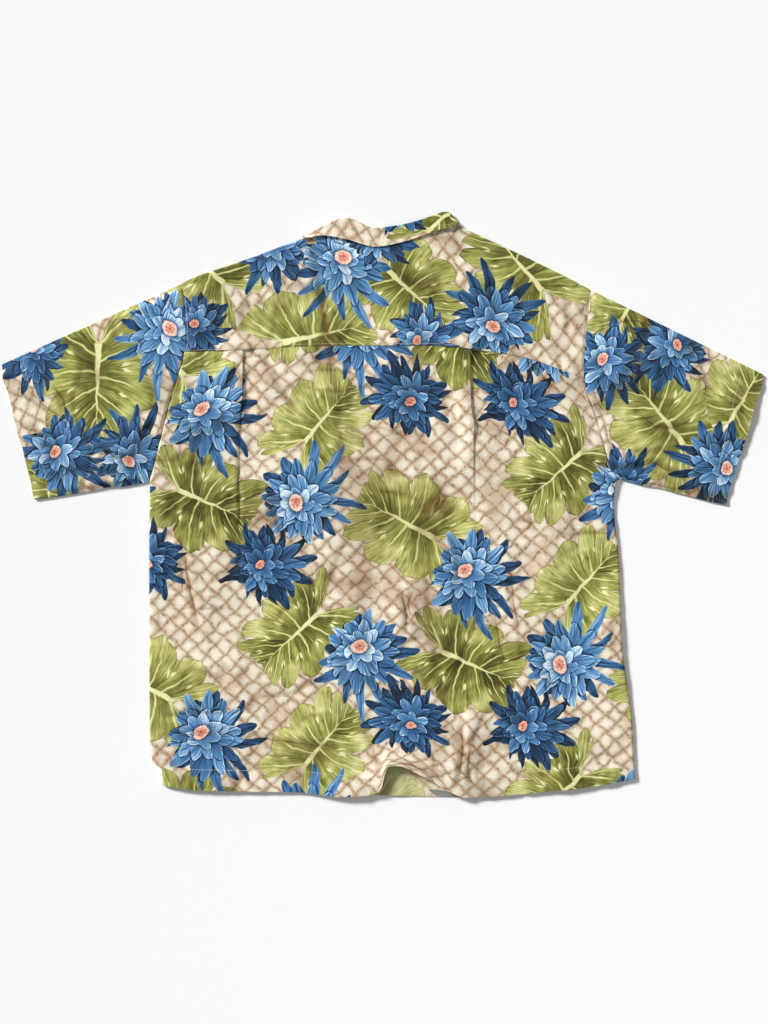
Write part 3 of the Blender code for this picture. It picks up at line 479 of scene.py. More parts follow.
def crumple(x, y, size, seed):
    """Thin trough lines where one noise crosses nought, broken up by another."""
    line = np.exp(-(rumple(x, y, size, seed) / 0.13)**2)
    return line * ease(rumple(x + 40, y, size * 1.3, seed + 2), 0.05, 0.55)


def facet(x, y, size, seed):
    """Planes that meet in soft ridges, fainter in some places than in others."""
    near = rumple(x, y, size, seed)
    return (0.30 - np.sqrt(near * near + 0.004)) * (0.7 + 0.6 * rumple(x, y, 2.1 * size, seed + 1))


def layers(form, rows, x, y):
    """Sum of one kind of unevenness over the rows of its table."""
    return sum(tall * form(x, y / along, size, seed) for size, tall, along, seed in rows)


def relief(x, y):
    """What creases and rumples add to the upper layer's height."""
    height = layers(rumple, RUMPLES, x, y) + layers(facet, FACETS, x, y) \
        - layers(crumple, CRUMPLES, x, y)
    for row in CREASES:
        height = height + crease(x, y, row)[0]
    height = LOFT + np.where(height < 0, DEEPEST * np.tanh(height / DEEPEST), height)
    return height * (1 - ease(np.abs(x), *NECK_CALM[0]) * ease(y, *NECK_CALM[1]))


def painted_crease_shade(x, y):
    """Share of painted shade along the listed creases and the thin broken ones."""
    share = sum(CRUMPLE_PAINTED_SHADE * crumple(x, y / along, size, seed)
                for size, _, along, seed in CRUMPLES)
    for row in CREASES:
        share = np.maximum(share, crease(x, y, row)[1])
    return np.clip(share, 0, 1)


def pucker(along, away, seam):
    """Small ripples that a seam draws in the cloth next to it."""
    tall, wide, reach, seed = PUCKERS[seam]
    wave = rumple(along + 0.5 * away, 0.25 * away, wide, seed) \
        + 0.6 * rumple(along, away * 0.3, wide * 0.45, seed + 1)
    return 2.2 * tall * wave * np.exp(-(away / reach)**2)


def seam_dip(away, depth=1, reach=1.6):
    """Edge turning down into a seam."""
    return -depth * np.exp(-(away / reach)**2)


def armhole_edge(y, inward):
    """Dip and ripples along an armhole."""
    return seam_dip(inward) + pucker(y, inward, "armhole")


def doubled(away, band, share=1):
    """How much the turned cloth of a hem stands up, `band` deep from the edge."""
    return HEM_TURNED * share * ease(away, band + HEM_LINE, band - HEM_LINE)


# ---------------------------------------------------------------- cloth shells

class Cloth:
    """One piece of cloth: its grid of middles, flat coordinates and object."""

    def __init__(self, name, grid, flat, wrap=False, keep=None, outside=1, shade_and_wear=None):
        self.grid, self.wrap = grid, wrap
        rows, columns = grid.shape[:2]
        spans = columns if wrap else columns - 1
        r, c = np.meshgrid(np.arange(rows - 1), np.arange(spans), indexing="ij")
        if keep is not None:
            r, c = r[keep], c[keep]
        r, c = r.ravel(), c.ravel()
        # corners of each quad; columns count past the last one on a wrapped piece
        cr = np.stack([r, r, r + 1, r + 1], axis=1)
        cc = np.stack([c, c + 1, c + 1, c], axis=1)
        quads = cr * columns + cc % columns
        points = grid.reshape(-1, 3)
        corner = points[quads]
        normal = np.cross(corner[:, 2] - corner[:, 0], corner[:, 3] - corner[:, 1])
        normal /= np.maximum(np.linalg.norm(normal, axis=1), 1e-9)[:, None]
        mean = np.zeros_like(points)
        for i in range(4):
            np.add.at(mean, quads[:, i], normal)
        mean /= np.maximum(np.linalg.norm(mean, axis=1), 1e-9)[:, None]
        self.normal = mean.reshape(grid.shape) * outside
        if outside < 0:
            quads, cr, cc = quads[:, ::-1], cr[:, ::-1], cc[:, ::-1]
        offset = self.normal.reshape(-1, 3) * THICK / 2
        used = np.unique(quads)
        size = len(used)
        slot = np.full(len(points), -1)
        slot[used] = np.arange(size)
        outer = slot[quads]
        vertices = np.concatenate([(points + offset)[used], (points - offset)[used]])
        vertices[:, 2] = np.maximum(vertices[:, 2], CLEAR)
        # bake map: the outside takes the left part of the square, the inside the right part
        u, v = cc / spans, cr / (rows - 1)
        bake_out = np.stack([0.006 + 0.60 * u, 0.006 + 0.988 * v], axis=-1)
        bake_in = np.stack([0.616 + 0.378 * u, 0.006 + 0.988 * v], axis=-1)
        flat_out = flat[cr, cc]
        # a rim joins the two layers wherever a side of a quad has no neighbour
        after = np.roll(outer, -1, axis=1)
        alone = ~np.isin(after * size + outer, outer * size + after)
        face, k = np.nonzero(alone)
        a, b = outer[alone], after[alone]
        flat_a, flat_b = flat_out[face, k], flat_out[face, (k + 1) % 4]
        bake_a, bake_b = bake_out[face, k], bake_out[face, (k + 1) % 4]
        out = 0.005 * np.sign(bake_a + bake_b - (0.612, 1))
        faces = np.concatenate([outer, outer[:, ::-1] + size,
                                np.stack([b, a, a + size, b + size], axis=1)])
        uvs = np.concatenate([flat_out, flat_out[:, ::-1],
                              np.stack([flat_b, flat_a, flat_a, flat_b], axis=1)])
        bakes = np.concatenate([bake_out, bake_in[:, ::-1],
                                np.stack([bake_b, bake_a, bake_a + out, bake_b + out], axis=1)])
        self.thing = mesh_object(name, vertices, faces.tolist(),
                                 kinds=np.repeat([0, 1, 0], [len(outer), len(outer), len(a)]),
                                 uvs={"cloth": uvs, "OFBake": np.clip(bakes, 0, 1)})
        # share of painted crease shade at each point; the cloth material darkens the print by it
        if shade_and_wear is not None:
            share = shade_and_wear.ravel()[used].astype(np.float32)
            layer = self.thing.data.attributes.new("shade_and_wear", "FLOAT", "POINT")
            layer.data.foreach_set("value", np.concatenate([share, share]))

    def at(self, row, column):
        """Place and outward direction at fractional grid coordinates."""
        rows, columns = self.grid.shape[:2]
        row = np.clip(row, 0, rows - 1.0001)
        i = np.floor(row).astype(int)
        column = column % columns if self.wrap else np.clip(column, 0, columns - 1.0001)
        j = np.floor(column).astype(int)
        s, t = (row - i)[..., None], (column - j)[..., None]
        after = (j + 1) % columns
        return [between(between(data[i, j], data[i, after], t),
                        between(data[i + 1, j], data[i + 1, after], t), s)
                for data in (self.grid, self.normal)]


def new_object(name, data):
    thing = bpy.data.objects.new(name, data)
    bpy.context.scene.collection.objects.link(thing)
    return thing


def mesh_object(name, points, faces, material=None, sharp=True, uvs=None, kinds=None):
    """One named, smooth object from points in millimetres and lists of corners."""
    mesh = bpy.data.meshes.new(name)
    mesh.from_pydata((np.asarray(points) * MM).tolist(), [], faces)
    for key, values in (uvs or {}).items():
        layer = mesh.uv_layers.new(name=key)
        layer.data.foreach_set("uv", np.asarray(values, np.float32).ravel())
    if kinds is not None:
        mesh.polygons.foreach_set("material_index", np.asarray(kinds, np.int32))
    mesh.shade_smooth()
    if sharp:
        mesh.set_sharp_from_angle(angle=math.radians(60))
    if material:
        mesh.materials.append(material)
    return new_object(name, mesh)


# Where the print sits on each piece: shift in millimetres
PRINT_PLACE = {"back": (245.7, -133), "front_left": (60, 90), "front_right": (150, -60),
               "yoke": (0, 0), "sleeve_left": (-600, 0), "sleeve_right": (600, 0),
               "collar": (0, -300)}


def on_print(name, u, v):
    """Flat coordinates of a piece in metres on the printed cloth."""
    across, up = PRINT_PLACE[name]
    return np.stack([u + across, v + up], axis=-1) * MM


# ---------------------------------------------------------------- back

def pleat_section(depth, closed):
    """Cloth through one knife pleat: offsets from its visible edge, and heights above its exit."""
    turn_length = math.pi * PLEAT_RADIUS / FOLD_TURNS
    angle = -math.pi * closed
    turning = [angle * (i + 0.5) / FOLD_TURNS for i in range(FOLD_TURNS)]
    headings = np.array(turning + [angle] * 4 + turning[::-1])
    lengths = np.array([turn_length] * FOLD_TURNS + [depth / 4] * 4 + [turn_length] * FOLD_TURNS)
    run = np.concatenate([[0], np.cumsum(lengths * np.cos(headings))])
    drop = np.concatenate([[0], np.cumsum(lengths * np.sin(headings))])
    return run - run.max(), drop - drop[-1]


def pleat_columns(edge_rows, y):
    """x and extra height of a pleat's columns in one row of the back."""
    below = (PLEAT_TOP - y) * (STEEP_PLEAT if edge_rows is PLEATS[0] else 1)
    depth, closed = (float(table(PLEAT_OPENING, i, below)) for i in (1, 2))
    run, rise = pleat_section(depth, closed)
    edge = float(table(edge_rows, 1, y))
    away, leaving = np.array(PLEAT_APPROACH), np.array(PLEAT_LEAVING)
    return (np.concatenate([edge + run.min() - away, edge + run, edge + run[-1] + leaving]),
            np.concatenate([rise[0] * ease(away, *PLEAT_CLIMB), rise, 0 * leaving]))


def back_row(left, right, rolled):
    """One row of the back: x, height above the layer, and share of the layer's height."""
    middle_y = between(left[1], right[1], PLEAT_PLACE) + ROW_BOW * (not rolled)
    pleats = [pleat_columns(rows, middle_y) for rows in PLEATS]
    inset, share = np.array(SIDE_LIP if rolled else FLAT_LIP).T
    near, far = left[0] + inset, right[0] - inset[::-1]
    (x_left, rise_left), (x_right, rise_right) = pleats
    fill = [np.linspace(start, end, steps + 1)[1:-1] for start, end, steps in (
        (near[-1], x_left[0], LEFT_COLUMNS), (x_left[-1], x_right[0], MIDDLE_COLUMNS),
        (x_right[-1], far[0], RIGHT_COLUMNS))]
    x = np.concatenate([near, fill[0], x_left, fill[1], x_right, fill[2], far])
    rise = np.concatenate([0 * share, 0 * fill[0], rise_left, 0 * fill[1], rise_right,
                           0 * fill[2], 0 * share])
    full = np.ones(len(x))
    full[:len(share)], full[-len(share):] = share, share[::-1]
    return x, rise, full


def back():
    """Back panel: hem to yoke seam, pleated below the yoke, rolled at its sides."""
    edges = {side: body_edge(side)[:SEAM_ROW + TUCK_ROWS + 1] for side in (-1, +1)}
    left, right = edges[-1], edges[+1]
    rows = [back_row(left[i], right[i], i < PIT_ROW) for i in range(len(left))]
    seam_bend = bend(rows[SEAM_ROW][0], left[SEAM_ROW], right[SEAM_ROW],
                     table(YOKE_SEAM, 1, rows[SEAM_ROW][0]))
    hem_bend = bend(rows[0][0], left[0], right[0], table(HEM, 1, rows[0][0]))
    grid, plain = [], []
    for i, (x, rise, full) in enumerate(rows):
        above_hem = left[i][1] - left[0][1]
        y = (chord(left[i], right[i], x) + seam_bend * np.clip((i - PIT_ROW) / ARMHOLE_STEPS, 0, 1)
             + hem_bend * ease(above_hem, HEM_FADE, 0))
        draw, lift = (table(HEM_FLIP, k, x) * table(FLIP_FADE, k, above_hem) for k in (1, 2))
        z = upper_height(x, y) + relief(x, y) + lift
        above = y - table(HEM, 1, x)
        z += doubled(above, HEM_BAND)
        z += pucker(x, above - HEM_BAND, "hem") + pucker(x, above, "hem edge")
        z += pucker(x, above_seam(x, y), "yoke")
        inward = np.minimum(x - left[i][0], right[i][0] - x)
        z += armhole_edge(y, inward) if i >= PIT_ROW else pucker(y, inward - 3, "side")
        grid.append(np.stack([x, y + draw, z * full + (1 - full) * SIDE_FOOT + rise], axis=-1))
        plain.append(y)
    grid = np.array(grid)
    across = walked(grid[:, :, [0, 2]], 1)
    centre = grid.shape[1] // 2
    u = across - across[:, [centre]] + grid[:, [centre], 0]
    # with the share of painted crease shade at each point
    return Cloth("cloth_back", grid, on_print("back", u, np.array(plain)),
                 shade_and_wear=painted_crease_shade(grid[:, :, 0], grid[:, :, 1]))


# ---------------------------------------------------------------- yoke

def yoke_rows():
    """Flat part of the yoke from its seam up, and which columns end on either shoulder."""
    station = {side: armhole(side) for side in (-1, +1)}
    ends_x = {side: station[side][SEAM_STATION][0] for side in (-1, +1)}
    seam_x = np.concatenate([np.linspace(ends_x[-1], NECK_X[0], YOKE_COLUMNS + 1)[:-1], NECK_X,
                             np.linspace(NECK_X[-1], ends_x[+1], YOKE_COLUMNS + 1)[1:]])
    left, right = seam_x < NECK_X[0], seam_x > NECK_X[-1]
    crest = sum(PLEAT_CREST * ease(seam_x, edge - CREST_FOOT[0], edge - CREST_TOP[0])
                * ease(seam_x, edge + CREST_FOOT[1], edge + CREST_TOP[1])
                for edge in (PLEATS[0][0][1], PLEATS[1][0][1]))

    def ends(step):
        return [np.array([np.interp(step, np.arange(len(line)), line[:, i]) for i in range(2)])
                for line in station.values()]

    def row_x(step):
        x = seam_x.copy()
        for mask, edge, end in zip((left, right), (0, -1), ends(step)):
            x[mask] = end[0] + (seam_x[mask] - seam_x[edge]) * (NECK_X[edge] - end[0]) \
                / (NECK_X[edge] - seam_x[edge])
        return x

    top_x = row_x(0)
    low, high = ends(0)
    top_y = neck_seam(top_x)
    top_y[left] = np.interp(top_x[left], [low[0], NECK_X[0]], [low[1], NECK_POINT[-1][1]])
    top_y[right] = np.interp(top_x[right], [NECK_X[-1], high[0]], [NECK_POINT[+1][1], high[1]])
    top_bend = bend(top_x, low, high, top_y)
    seam_bend = bend(seam_x, *ends(SEAM_STATION), table(YOKE_SEAM, 1, seam_x))
    grid = []
    for step in range(SEAM_STATION, -1, -1):
        low, high = ends(step)
        x = row_x(step)
        share = step / SEAM_STATION
        y = chord(low, high, x) + seam_bend * share + top_bend * (1 - share)
        ledge = YOKE_LEDGE * ease(step, SEAM_STATION - YOKE_STEPS / 6, SEAM_STATION - 1) \
            + crest * ease(step, SEAM_STATION - YOKE_STEPS / 3, SEAM_STATION - 1)
        away = above_seam(x, y)
        z = upper_height(x, y) + relief(x, y) + ledge
        z += seam_dip(away, 0.35, 1.4) + pucker(x, away, "yoke")
        z += armhole_edge(y, np.minimum(x - x[0], x[-1] - x))
        grid.append(np.stack([x, y, z], axis=-1))
    return np.array(grid), left | (seam_x == NECK_X[0]), right | (seam_x == NECK_X[-1])


def yoke():
    """Yoke: lies over the back's upper edge, rolls over both shoulders onto the fronts."""
    grid, left, right = yoke_rows()
    x, y, z = grid[-1].T
    low = lower_height(x, y)
    radius, centre = (z - low) / 2, (z + low) / 2
    square = np.zeros((len(x), 2))
    ends = np.zeros((len(x), 2))
    for side, mask in ((-1, left), (+1, right)):
        station = armhole(side)
        near_sleeve = ease(np.abs(x[mask] - station[0][0]), SLEEVE_BLEND, 0)[:, None]
        way = between(shoulder_axis(side)[1], unit(station[0] - station[-1]), near_sleeve)
        square[mask] = way / np.linalg.norm(way, axis=1)[:, None]
        along = (x[mask] - station[0][0]) / (NECK_POINT[side][0] - station[0][0])
        ends[mask] = between(station[STRIP_STEPS], strip_corner(side), along[:, None])
    extra = []
    for step in range(1, FOLD_TURNS + 1):
        angle = math.pi / 2 - math.pi * step / FOLD_TURNS
        out = square * (radius * math.cos(angle))[:, None]
        extra.append(np.stack([x + out[:, 0], y + out[:, 1], centre + radius * math.sin(angle)],
                              axis=-1))
    for share in np.linspace(0, 1, STRIP_ROWS + 1)[1:]:
        plan = between(grid[-1][:, :2], ends, share)
        extra.append(np.stack([*plan.T, lower_height(*plan.T)], axis=-1))
    full = np.concatenate([grid, np.array(extra)])
    keep = np.ones((len(full) - 1, len(x) - 1), bool)
    keep[len(grid) - 1:] = (left[:-1] & left[1:]) | (right[:-1] & right[1:])
    flat_rows = np.arange(len(full))[:, None] < len(grid)
    v = walked(full, 0)
    v = np.where(flat_rows, full[:, :, 1], grid[-1][:, 1] + v - v[len(grid) - 1])
    u = np.where(flat_rows, full[:, :, 0], grid[-1][:, 0])
    return Cloth("cloth_yoke", full, on_print("yoke", u, v), keep=keep,
                 shade_and_wear=painted_crease_shade(full[:, :, 0], full[:, :, 1]))


# ---------------------------------------------------------------- fronts

def front_top(side, x):
    """y of a front's upper edge: the yoke strip's seam, then the neckline to the centre."""
    start, corner = armhole(side)[STRIP_STEPS], strip_corner(side)
    seam = chord(start, corner, x)
    slope = (corner[1] - CENTRE_NECK) / abs(corner[0])
    neckline = CENTRE_NECK + slope * np.clip(x * side, 0, None)
    return np.where(x * side >= abs(corner[0]) - 0.01, seam, neckline)


def front(side):
    """One front panel, from its side seam to just past the centre line."""
    edge = body_edge(side)[:-STRIP_STEPS]
    edge[:PIT_ROW + 1, 0] -= side * FRONT_INSET
    corner = strip_corner(side)
    centre_x = -side * OVERLAP
    placket = np.linspace(corner[0], centre_x, PLACKET_COLUMNS + 1)[1:]
    height = front_left_height if side < 0 else front_right_height
    centre_hem = float(table(HEM, 1, centre_x))
    rise = (edge[:, 1] - edge[0][1]) / (edge[-1][1] - edge[0][1])
    inner = np.stack([np.full(len(edge), centre_x), between(centre_hem, CENTRE_NECK, rise)],
                     axis=-1)
    shares = np.linspace(0, 1, FRONT_SIDE_COLUMNS + 1)
    x_rows = [np.concatenate([between(end[0], corner[0], shares), placket]) for end in edge]
    top_bend = bend(x_rows[-1], edge[-1], inner[-1], front_top(side, x_rows[-1]))
    hem_bend = bend(x_rows[0], edge[0], inner[0], table(HEM, 1, x_rows[0]))
    grid = []
    for i, x in enumerate(x_rows):
        y = (chord(edge[i], inner[i], x)
             + top_bend * np.clip((i - PIT_ROW) / (len(edge) - 1 - PIT_ROW), 0, 1)
             + hem_bend * ease(edge[i][1] - edge[0][1], HEM_FADE, 0))
        above = y - table(HEM, 1, x)
        z = height(x, y) + doubled(above, HEM_BAND, FRONT_HEM)
        z += np.maximum(0, pucker(x, above - HEM_BAND, "front hem"))
        grid.append(np.stack([x, y, z], axis=-1))
    grid = np.array(grid)
    if side > 0:
        grid = grid[:, ::-1]
    name = "front_left" if side < 0 else "front_right"
    return Cloth("cloth_" + name, grid, on_print(name, -grid[:, :, 0], grid[:, :, 1]), outside=-1)


# ---------------------------------------------------------------- sleeves

def sleeve(side):
    """Flattened tube: closed rings from the armhole to the cuff, folded at top and underarm."""
    name = "sleeve_left" if side < 0 else "sleeve_right"
    seam = armhole(side)
    seam[:, 0] += side * GAP
    cuff = trace(CUFF[side], armhole_shares(side))
    depth = np.linalg.norm(cuff - seam, axis=1)
    along = walked(seam, 0)
    rings, flats = [], []
    fold_start, fold_way = seam[0], unit(cuff[0] - seam[0])
    fold_square = np.array([-fold_way[1], fold_way[0]])
    out_way = unit(cuff.mean(0) - seam.mean(0))
    for step in range(SLEEVE_STEPS + 1):
        plan = between(seam, cuff, step / SLEEVE_STEPS)
        run = unit(plan[-1] - plan[0])
        inward = depth * step / SLEEVE_STEPS
        below = depth - inward
        wave = EDGE_WAVE * rumple(inward, 0 * inward, *UNDERARM_WAVE) \
            * ease(inward, *UNDERARM_FREE) * ease(along, 0.35 * along[-1], along[-1])
        plan = plan + run * wave[:, None]
        wave = EDGE_WAVE * rumple(along, 0 * along, *CUFF_WAVE) * ease(below, *CUFF_FREE)
        plan = plan + out_way * wave[:, None]
        x, y = plan.T
        soft = ease(np.minimum(along, along[-1] - along), 0, 9)
        uneven = (SLEEVE_RELIEF * relief(x, y) + pucker(along, below - CUFF_BAND, "cuff")
                  + pucker(along, inward, "armhole") + pucker(along, below, "cuff edge"))
        high = upper_height(x, y) + uneven * soft + seam_dip(inward) + doubled(below, CUFF_BAND)
        low = LOW + doubled(below, CUFF_BAND, UNDER_CUFF)
        rings.append(np.concatenate([
            np.stack([x, y, high], axis=-1), turn(plan[-1], run, high[-1], low[-1]),
            np.stack([x, y, low], axis=-1)[::-1], turn(plan[0], -run, low[0], high[0])]))
        off = plan - fold_start
        cross = off[:, 0] * fold_square[0] + off[:, 1] * fold_square[1]
        mirrored = plan - 2 * cross[:, None] * fold_square
        # the lower layer's cloth lies past the shoulder fold; the underarm seam is where it breaks
        shares = np.linspace(0, 1, FOLD_TURNS + 1)[1:-1, None]
        flats.append(np.concatenate([plan, between(plan[-1], plan[-1] + run, shares),
                                     mirrored[::-1], between(mirrored[0], plan[0], shares),
                                     plan[:1]]))
    grid, flat = np.array(rings), np.array(flats)
    if side < 0:
        grid, flat = grid[::-1], flat[::-1]
    return Cloth("cloth_" + name, grid, on_print(name, flat[:, :, 0], flat[:, :, 1]), wrap=True,
                 shade_and_wear=painted_crease_shade(grid[:, :, 0], grid[:, :, 1]))


def turn(at, outward, start, end):
    """Points round half a turn of cloth, from one layer's height to the other's."""
    radius, centre = (end - start) / 2, (end + start) / 2
    points = []
    for step in range(1, FOLD_TURNS):
        angle = math.pi * step / FOLD_TURNS
        out = at + outward * abs(radius) * math.sin(angle)
        points.append(np.array([out[0], out[1], centre - radius * math.cos(angle)]))
    return points


# ---------------------------------------------------------------- collar

def leaf_seam(side, place):
    """Neck seam of a front: centre front at 0, strip corner at 1, neck point at 2."""
    centre, corner = np.array([0, CENTRE_NECK]), strip_corner(side)
    if place <= 1:
        return between(centre, corner, place)
    return between(corner, np.array(NECK_POINT[side]), place - 1)


def leaf_stations(side):
    """Stations of one front leaf, from the centre front round to the neck point."""
    rows = []
    for place, roll_x, roll_y, free_x, free_y in COLLAR_LEAF:
        seam, left_seam = leaf_seam(side, place), leaf_seam(-1, place)
        slide_x, slide_y = abs(seam[0]) - abs(left_seam[0]), seam[1] - left_seam[1]
        rows.append((place, side * (roll_x + slide_x), roll_y + slide_y,
                     side * (free_x + slide_x), free_y + slide_y))
    rows.append((2, *COLLAR_SIDE[side]))
    stations = []
    for place in LEAF_PLACES:
        roll_and_free = [float(table(rows, i, place)) for i in range(1, 5)]
        stations.append((np.array([*leaf_seam(side, place), *roll_and_free]), -90))
    last = stations[-1][0]
    last[:2] += NECK_EASE * (last[2:4] - last[:2]) / np.linalg.norm(last[2:4] - last[:2])
    return stations + [(last, -90 + 180 * i / FOLD_TURNS) for i in range(1, FOLD_TURNS + 1)]


def collar_stations():
    """Stations round the neck: seam, roll and free edge in plan, and the angle round the fold."""
    behind = [(np.array([x, neck_seam(x), x, table(COLLAR_BACK, 2, x), x,
                         table(COLLAR_BACK, 3, x)]), 90) for x in NECK_X[1:-1]]
    return leaf_stations(-1) + behind + leaf_stations(+1)[::-1]


def roll_slants(stations):
    """How much wider the roll is along its section where the roll line runs slantwise to it."""
    slants = []
    for i, (plan, angle) in enumerate(stations):
        section = plan[2:4] - plan[0:2]
        least = 1
        for near, near_angle in stations[max(0, i - 1):i] + stations[i + 1:i + 2]:
            way = near[2:4] - plan[2:4]
            if near_angle == angle and np.linalg.norm(way) > 0:
                cross = abs(way[0] * section[1] - way[1] * section[0])
                least = min(least, cross / np.linalg.norm(way) / np.linalg.norm(section))
        slants.append(1 / max(least, LEAST_SLANT))
    return slants


def collar_section(seam, roll, free, front, slant):
    """Plan points of stand, roll and fall, each with how far out of the stand's level it lies.

    The roll stands proud of the fall behind and at the sides. In front, where the fall lies on
    the surface, it is the stand that rises instead.
    """
    run = unit(roll - seam)
    sunk = (2 * ROLL_RADIUS - LAYER) * front
    reach = ROLL_RADIUS * slant
    crown = roll - run * reach
    start = seam + run * GAP
    section = [(between(start, crown, share), -sunk * share**2) for share in STAND_SHARES]
    for step in range(1, FOLD_TURNS):
        bend_angle = math.pi * step / FOLD_TURNS
        section.append((crown + run * reach * math.sin(bend_angle),
                        ROLL_RADIUS * (1 - math.cos(bend_angle)) - sunk))
    proud = 2 * ROLL_RADIUS - LAYER - sunk
    section += [(between(crown, free, share), LAYER + proud * (1 - share)**2)
                for share in FALL_SHARES]
    return section


def collar_square(side):
    """Unit vector square to the fall where it goes round the shoulder fold."""
    along = unit(np.array(COLLAR_SIDE[side][:2]) - np.array(COLLAR_SIDE[side][2:]))
    return np.array([along[1], -along[0]]) * side


def collar():
    """Collar band: stand, roll and fall, on the back's level behind and under the fronts before."""
    low = float(lower_height(np.array(0), np.array(CENTRE_NECK)))
    centre = (STAND_HEIGHT + low) / 2
    spread = STAND_HEIGHT - centre
    grid = []
    stations = collar_stations()
    for (plan, angle), slant in zip(stations, roll_slants(stations)):
        seam, roll, free = plan[0:2], plan[2:4], plan[4:6]
        side = -1 if seam[0] < 0 else +1
        up, out = math.sin(math.radians(angle)), math.cos(math.radians(angle))
        section = collar_section(seam, roll, free, max(0, -up), slant)
        lift = max(0, up) * float(table(FALL_LIFT, 1, seam[0]))
        for i, share in enumerate(FALL_SHARES):
            place, outward = section[i - len(FALL_SHARES)]
            section[i - len(FALL_SHARES)] = (place, outward + lift * share**2)
        squares = [shoulder_axis(side)[1]] + [collar_square(side)] * (len(section) - 1)
        grid.append([(*(place + square * (spread + outward) * out),
                      centre + (spread + outward) * up)
                     for (place, outward), square in zip(section, squares)])
    grid = np.array(grid)
    crown = len(STAND_SHARES) + FOLD_TURNS // 2 - 1
    u = walked(grid[:, crown:crown + 1], 0)
    u = u - u[len(stations) // 2] + grid[len(stations) // 2, crown, 0] + 0 * grid[:, :, 0]
    v = walked(grid, 1)
    v = 392 + v[:, [crown]] - v
    return Cloth("cloth_collar", grid, on_print("collar", u, v))


# ---------------------------------------------------------------- shader arithmetic

def add(kind, *values, tree=None, into=None, out=0, **settings):
    """A new shader node: its settings, fields or plain values in its sockets, and one output."""
    tree = tree or next(value.tree for value in values if isinstance(value, Field))
    node = tree.nodes.new("ShaderNode" + kind)
    for key, value in settings.items():
        setattr(node, key, value)
    for slot, value in zip(into or range(len(values)), values):
        plug(node, slot, value)
    return Field(tree, node.outputs[out])


def plug(node, slot, value):
    """Link a field into a node's socket, or set a plain number, vector or colour on it."""
    if isinstance(value, Field):
        value.tree.links.new(value.socket, node.inputs[slot])
    else:
        node.inputs[slot].default_value = value


def math_node(operation, *values, clamp=False):
    return add("Math", *values, operation=operation, use_clamp=clamp)


class Field:
    """A number that varies over a material. Arithmetic on it adds Math nodes."""

    def __init__(self, tree, socket):
        self.tree, self.socket = tree, socket

    def do(self, operation, *others, clamp=False):
        return math_node(operation, self, *others, clamp=clamp)

    def __rsub__(self, other):
        return math_node("SUBTRACT", other, self)

    def scaled(self, factor, offset=0):
        return self.do("MULTIPLY_ADD", factor, offset)

    def clamped(self):
        return self.do("ADD", 0, clamp=True)

    def step(self, start, end, low=0, high=1, kind="SMOOTHSTEP"):
        """`low` up to `start`, `high` from `end` on, smooth between."""
        return add("MapRange", self, start, end, low, high, interpolation_type=kind)

    def parts(self):
        """Every output of the node that this field comes from."""
        return [Field(self.tree, out) for out in self.socket.node.outputs]


for method, operation in {
        "__add__": "ADD", "__radd__": "ADD", "__sub__": "SUBTRACT", "__mul__": "MULTIPLY",
        "__rmul__": "MULTIPLY", "__truediv__": "DIVIDE", "__abs__": "ABSOLUTE", "power": "POWER",
        "most": "MAXIMUM", "least": "MINIMUM", "floor": "FLOOR", "fraction": "FRACT"}.items():
    setattr(Field, method, functools.partialmethod(Field.do, operation))


def vector_node(operation, *values, into=None):
    out = "Value" if operation in ("DOT_PRODUCT", "LENGTH") else 0
    return add("VectorMath", *values, into=into, out=out, operation=operation)


def length_of(x, y):
    return math_node("SQRT", x * x + y * y)


def join(*values):
    return add("CombineXYZ", *(values + (0, 0, 0))[:3])


def split(vector):
    return add("SeparateXYZ", vector).parts()


def pick(share, first, second, kind="FLOAT"):
    """`first` where share is 0, `second` where it is 1, for numbers, vectors or colours."""
    *into, out = {"FLOAT": (0, 2, 3, 0), "VECTOR": (0, 4, 5, 1), "RGBA": (0, 6, 7, 2)}[kind]
    return add("Mix", share, first, second, into=into, out=out, data_type=kind)


def tint(share, first, second):
    """`pick` for colours, which may be three plain numbers."""
    first, second = (colour if isinstance(colour, Field) else (*colour, 1)
                     for colour in (first, second))
    return pick(share, first, second, "RGBA")


def dice(seed, dimensions="1D"):
    """Three even random numbers for each whole seed, or pair of them."""
    slot = "W" if dimensions == "1D" else "Vector"
    return split(add("TexWhiteNoise", seed, into=(slot,), out="Color",
                     noise_dimensions=dimensions))


def noise(place, scale=1, detail=2, roughness=0.5, out=0):
    return add("TexNoise", place, scale, detail, roughness, out=out,
               into=("Vector", "Scale", "Detail", "Roughness"), noise_dimensions="2D")


def ramp(value, stops):
    colour = add("ValToRGB", value)
    elements = colour.socket.node.color_ramp.elements
    while len(elements) < len(stops):
        elements.new(0.5)
    for element, (place, _) in zip(elements, stops):
        element.position = place
    for element, (place, shade) in zip(elements, stops):
        element.position = place
        element.color = (*shade, 1)
    return colour


# ---------------------------------------------------------------- print

# Each layout: width and height of a lattice cell; width of the repeat and its height, from which
# every column drops by half; then x, y in metres, radius, turn in degrees and tone of its flowers,
# of the flowers over them and of its leaves
BODY_PRINT = ((0.0260, 0.0242), 0.369, 0.452,
              ((0.002, -0.004, 0.068, 0, 0.22),
               (0.137, -0.123, 0.067, 60, 0),
               (0.217, 0.112, 0.066, -35, 0.05)),
              ((0.085, -0.217, 0.060, 20, 0.85),
               (0.281, 0.024, 0.059, 150, 0.80)),
              ((0.158, -0.016, 0.074, -40, 0.15),
               (0.284, -0.158, 0.084, 62, 0),
               (-0.008, -0.123, 0.079, -113, 0.70),
               (0.130, -0.305, 0.076, 132, 0.50)))
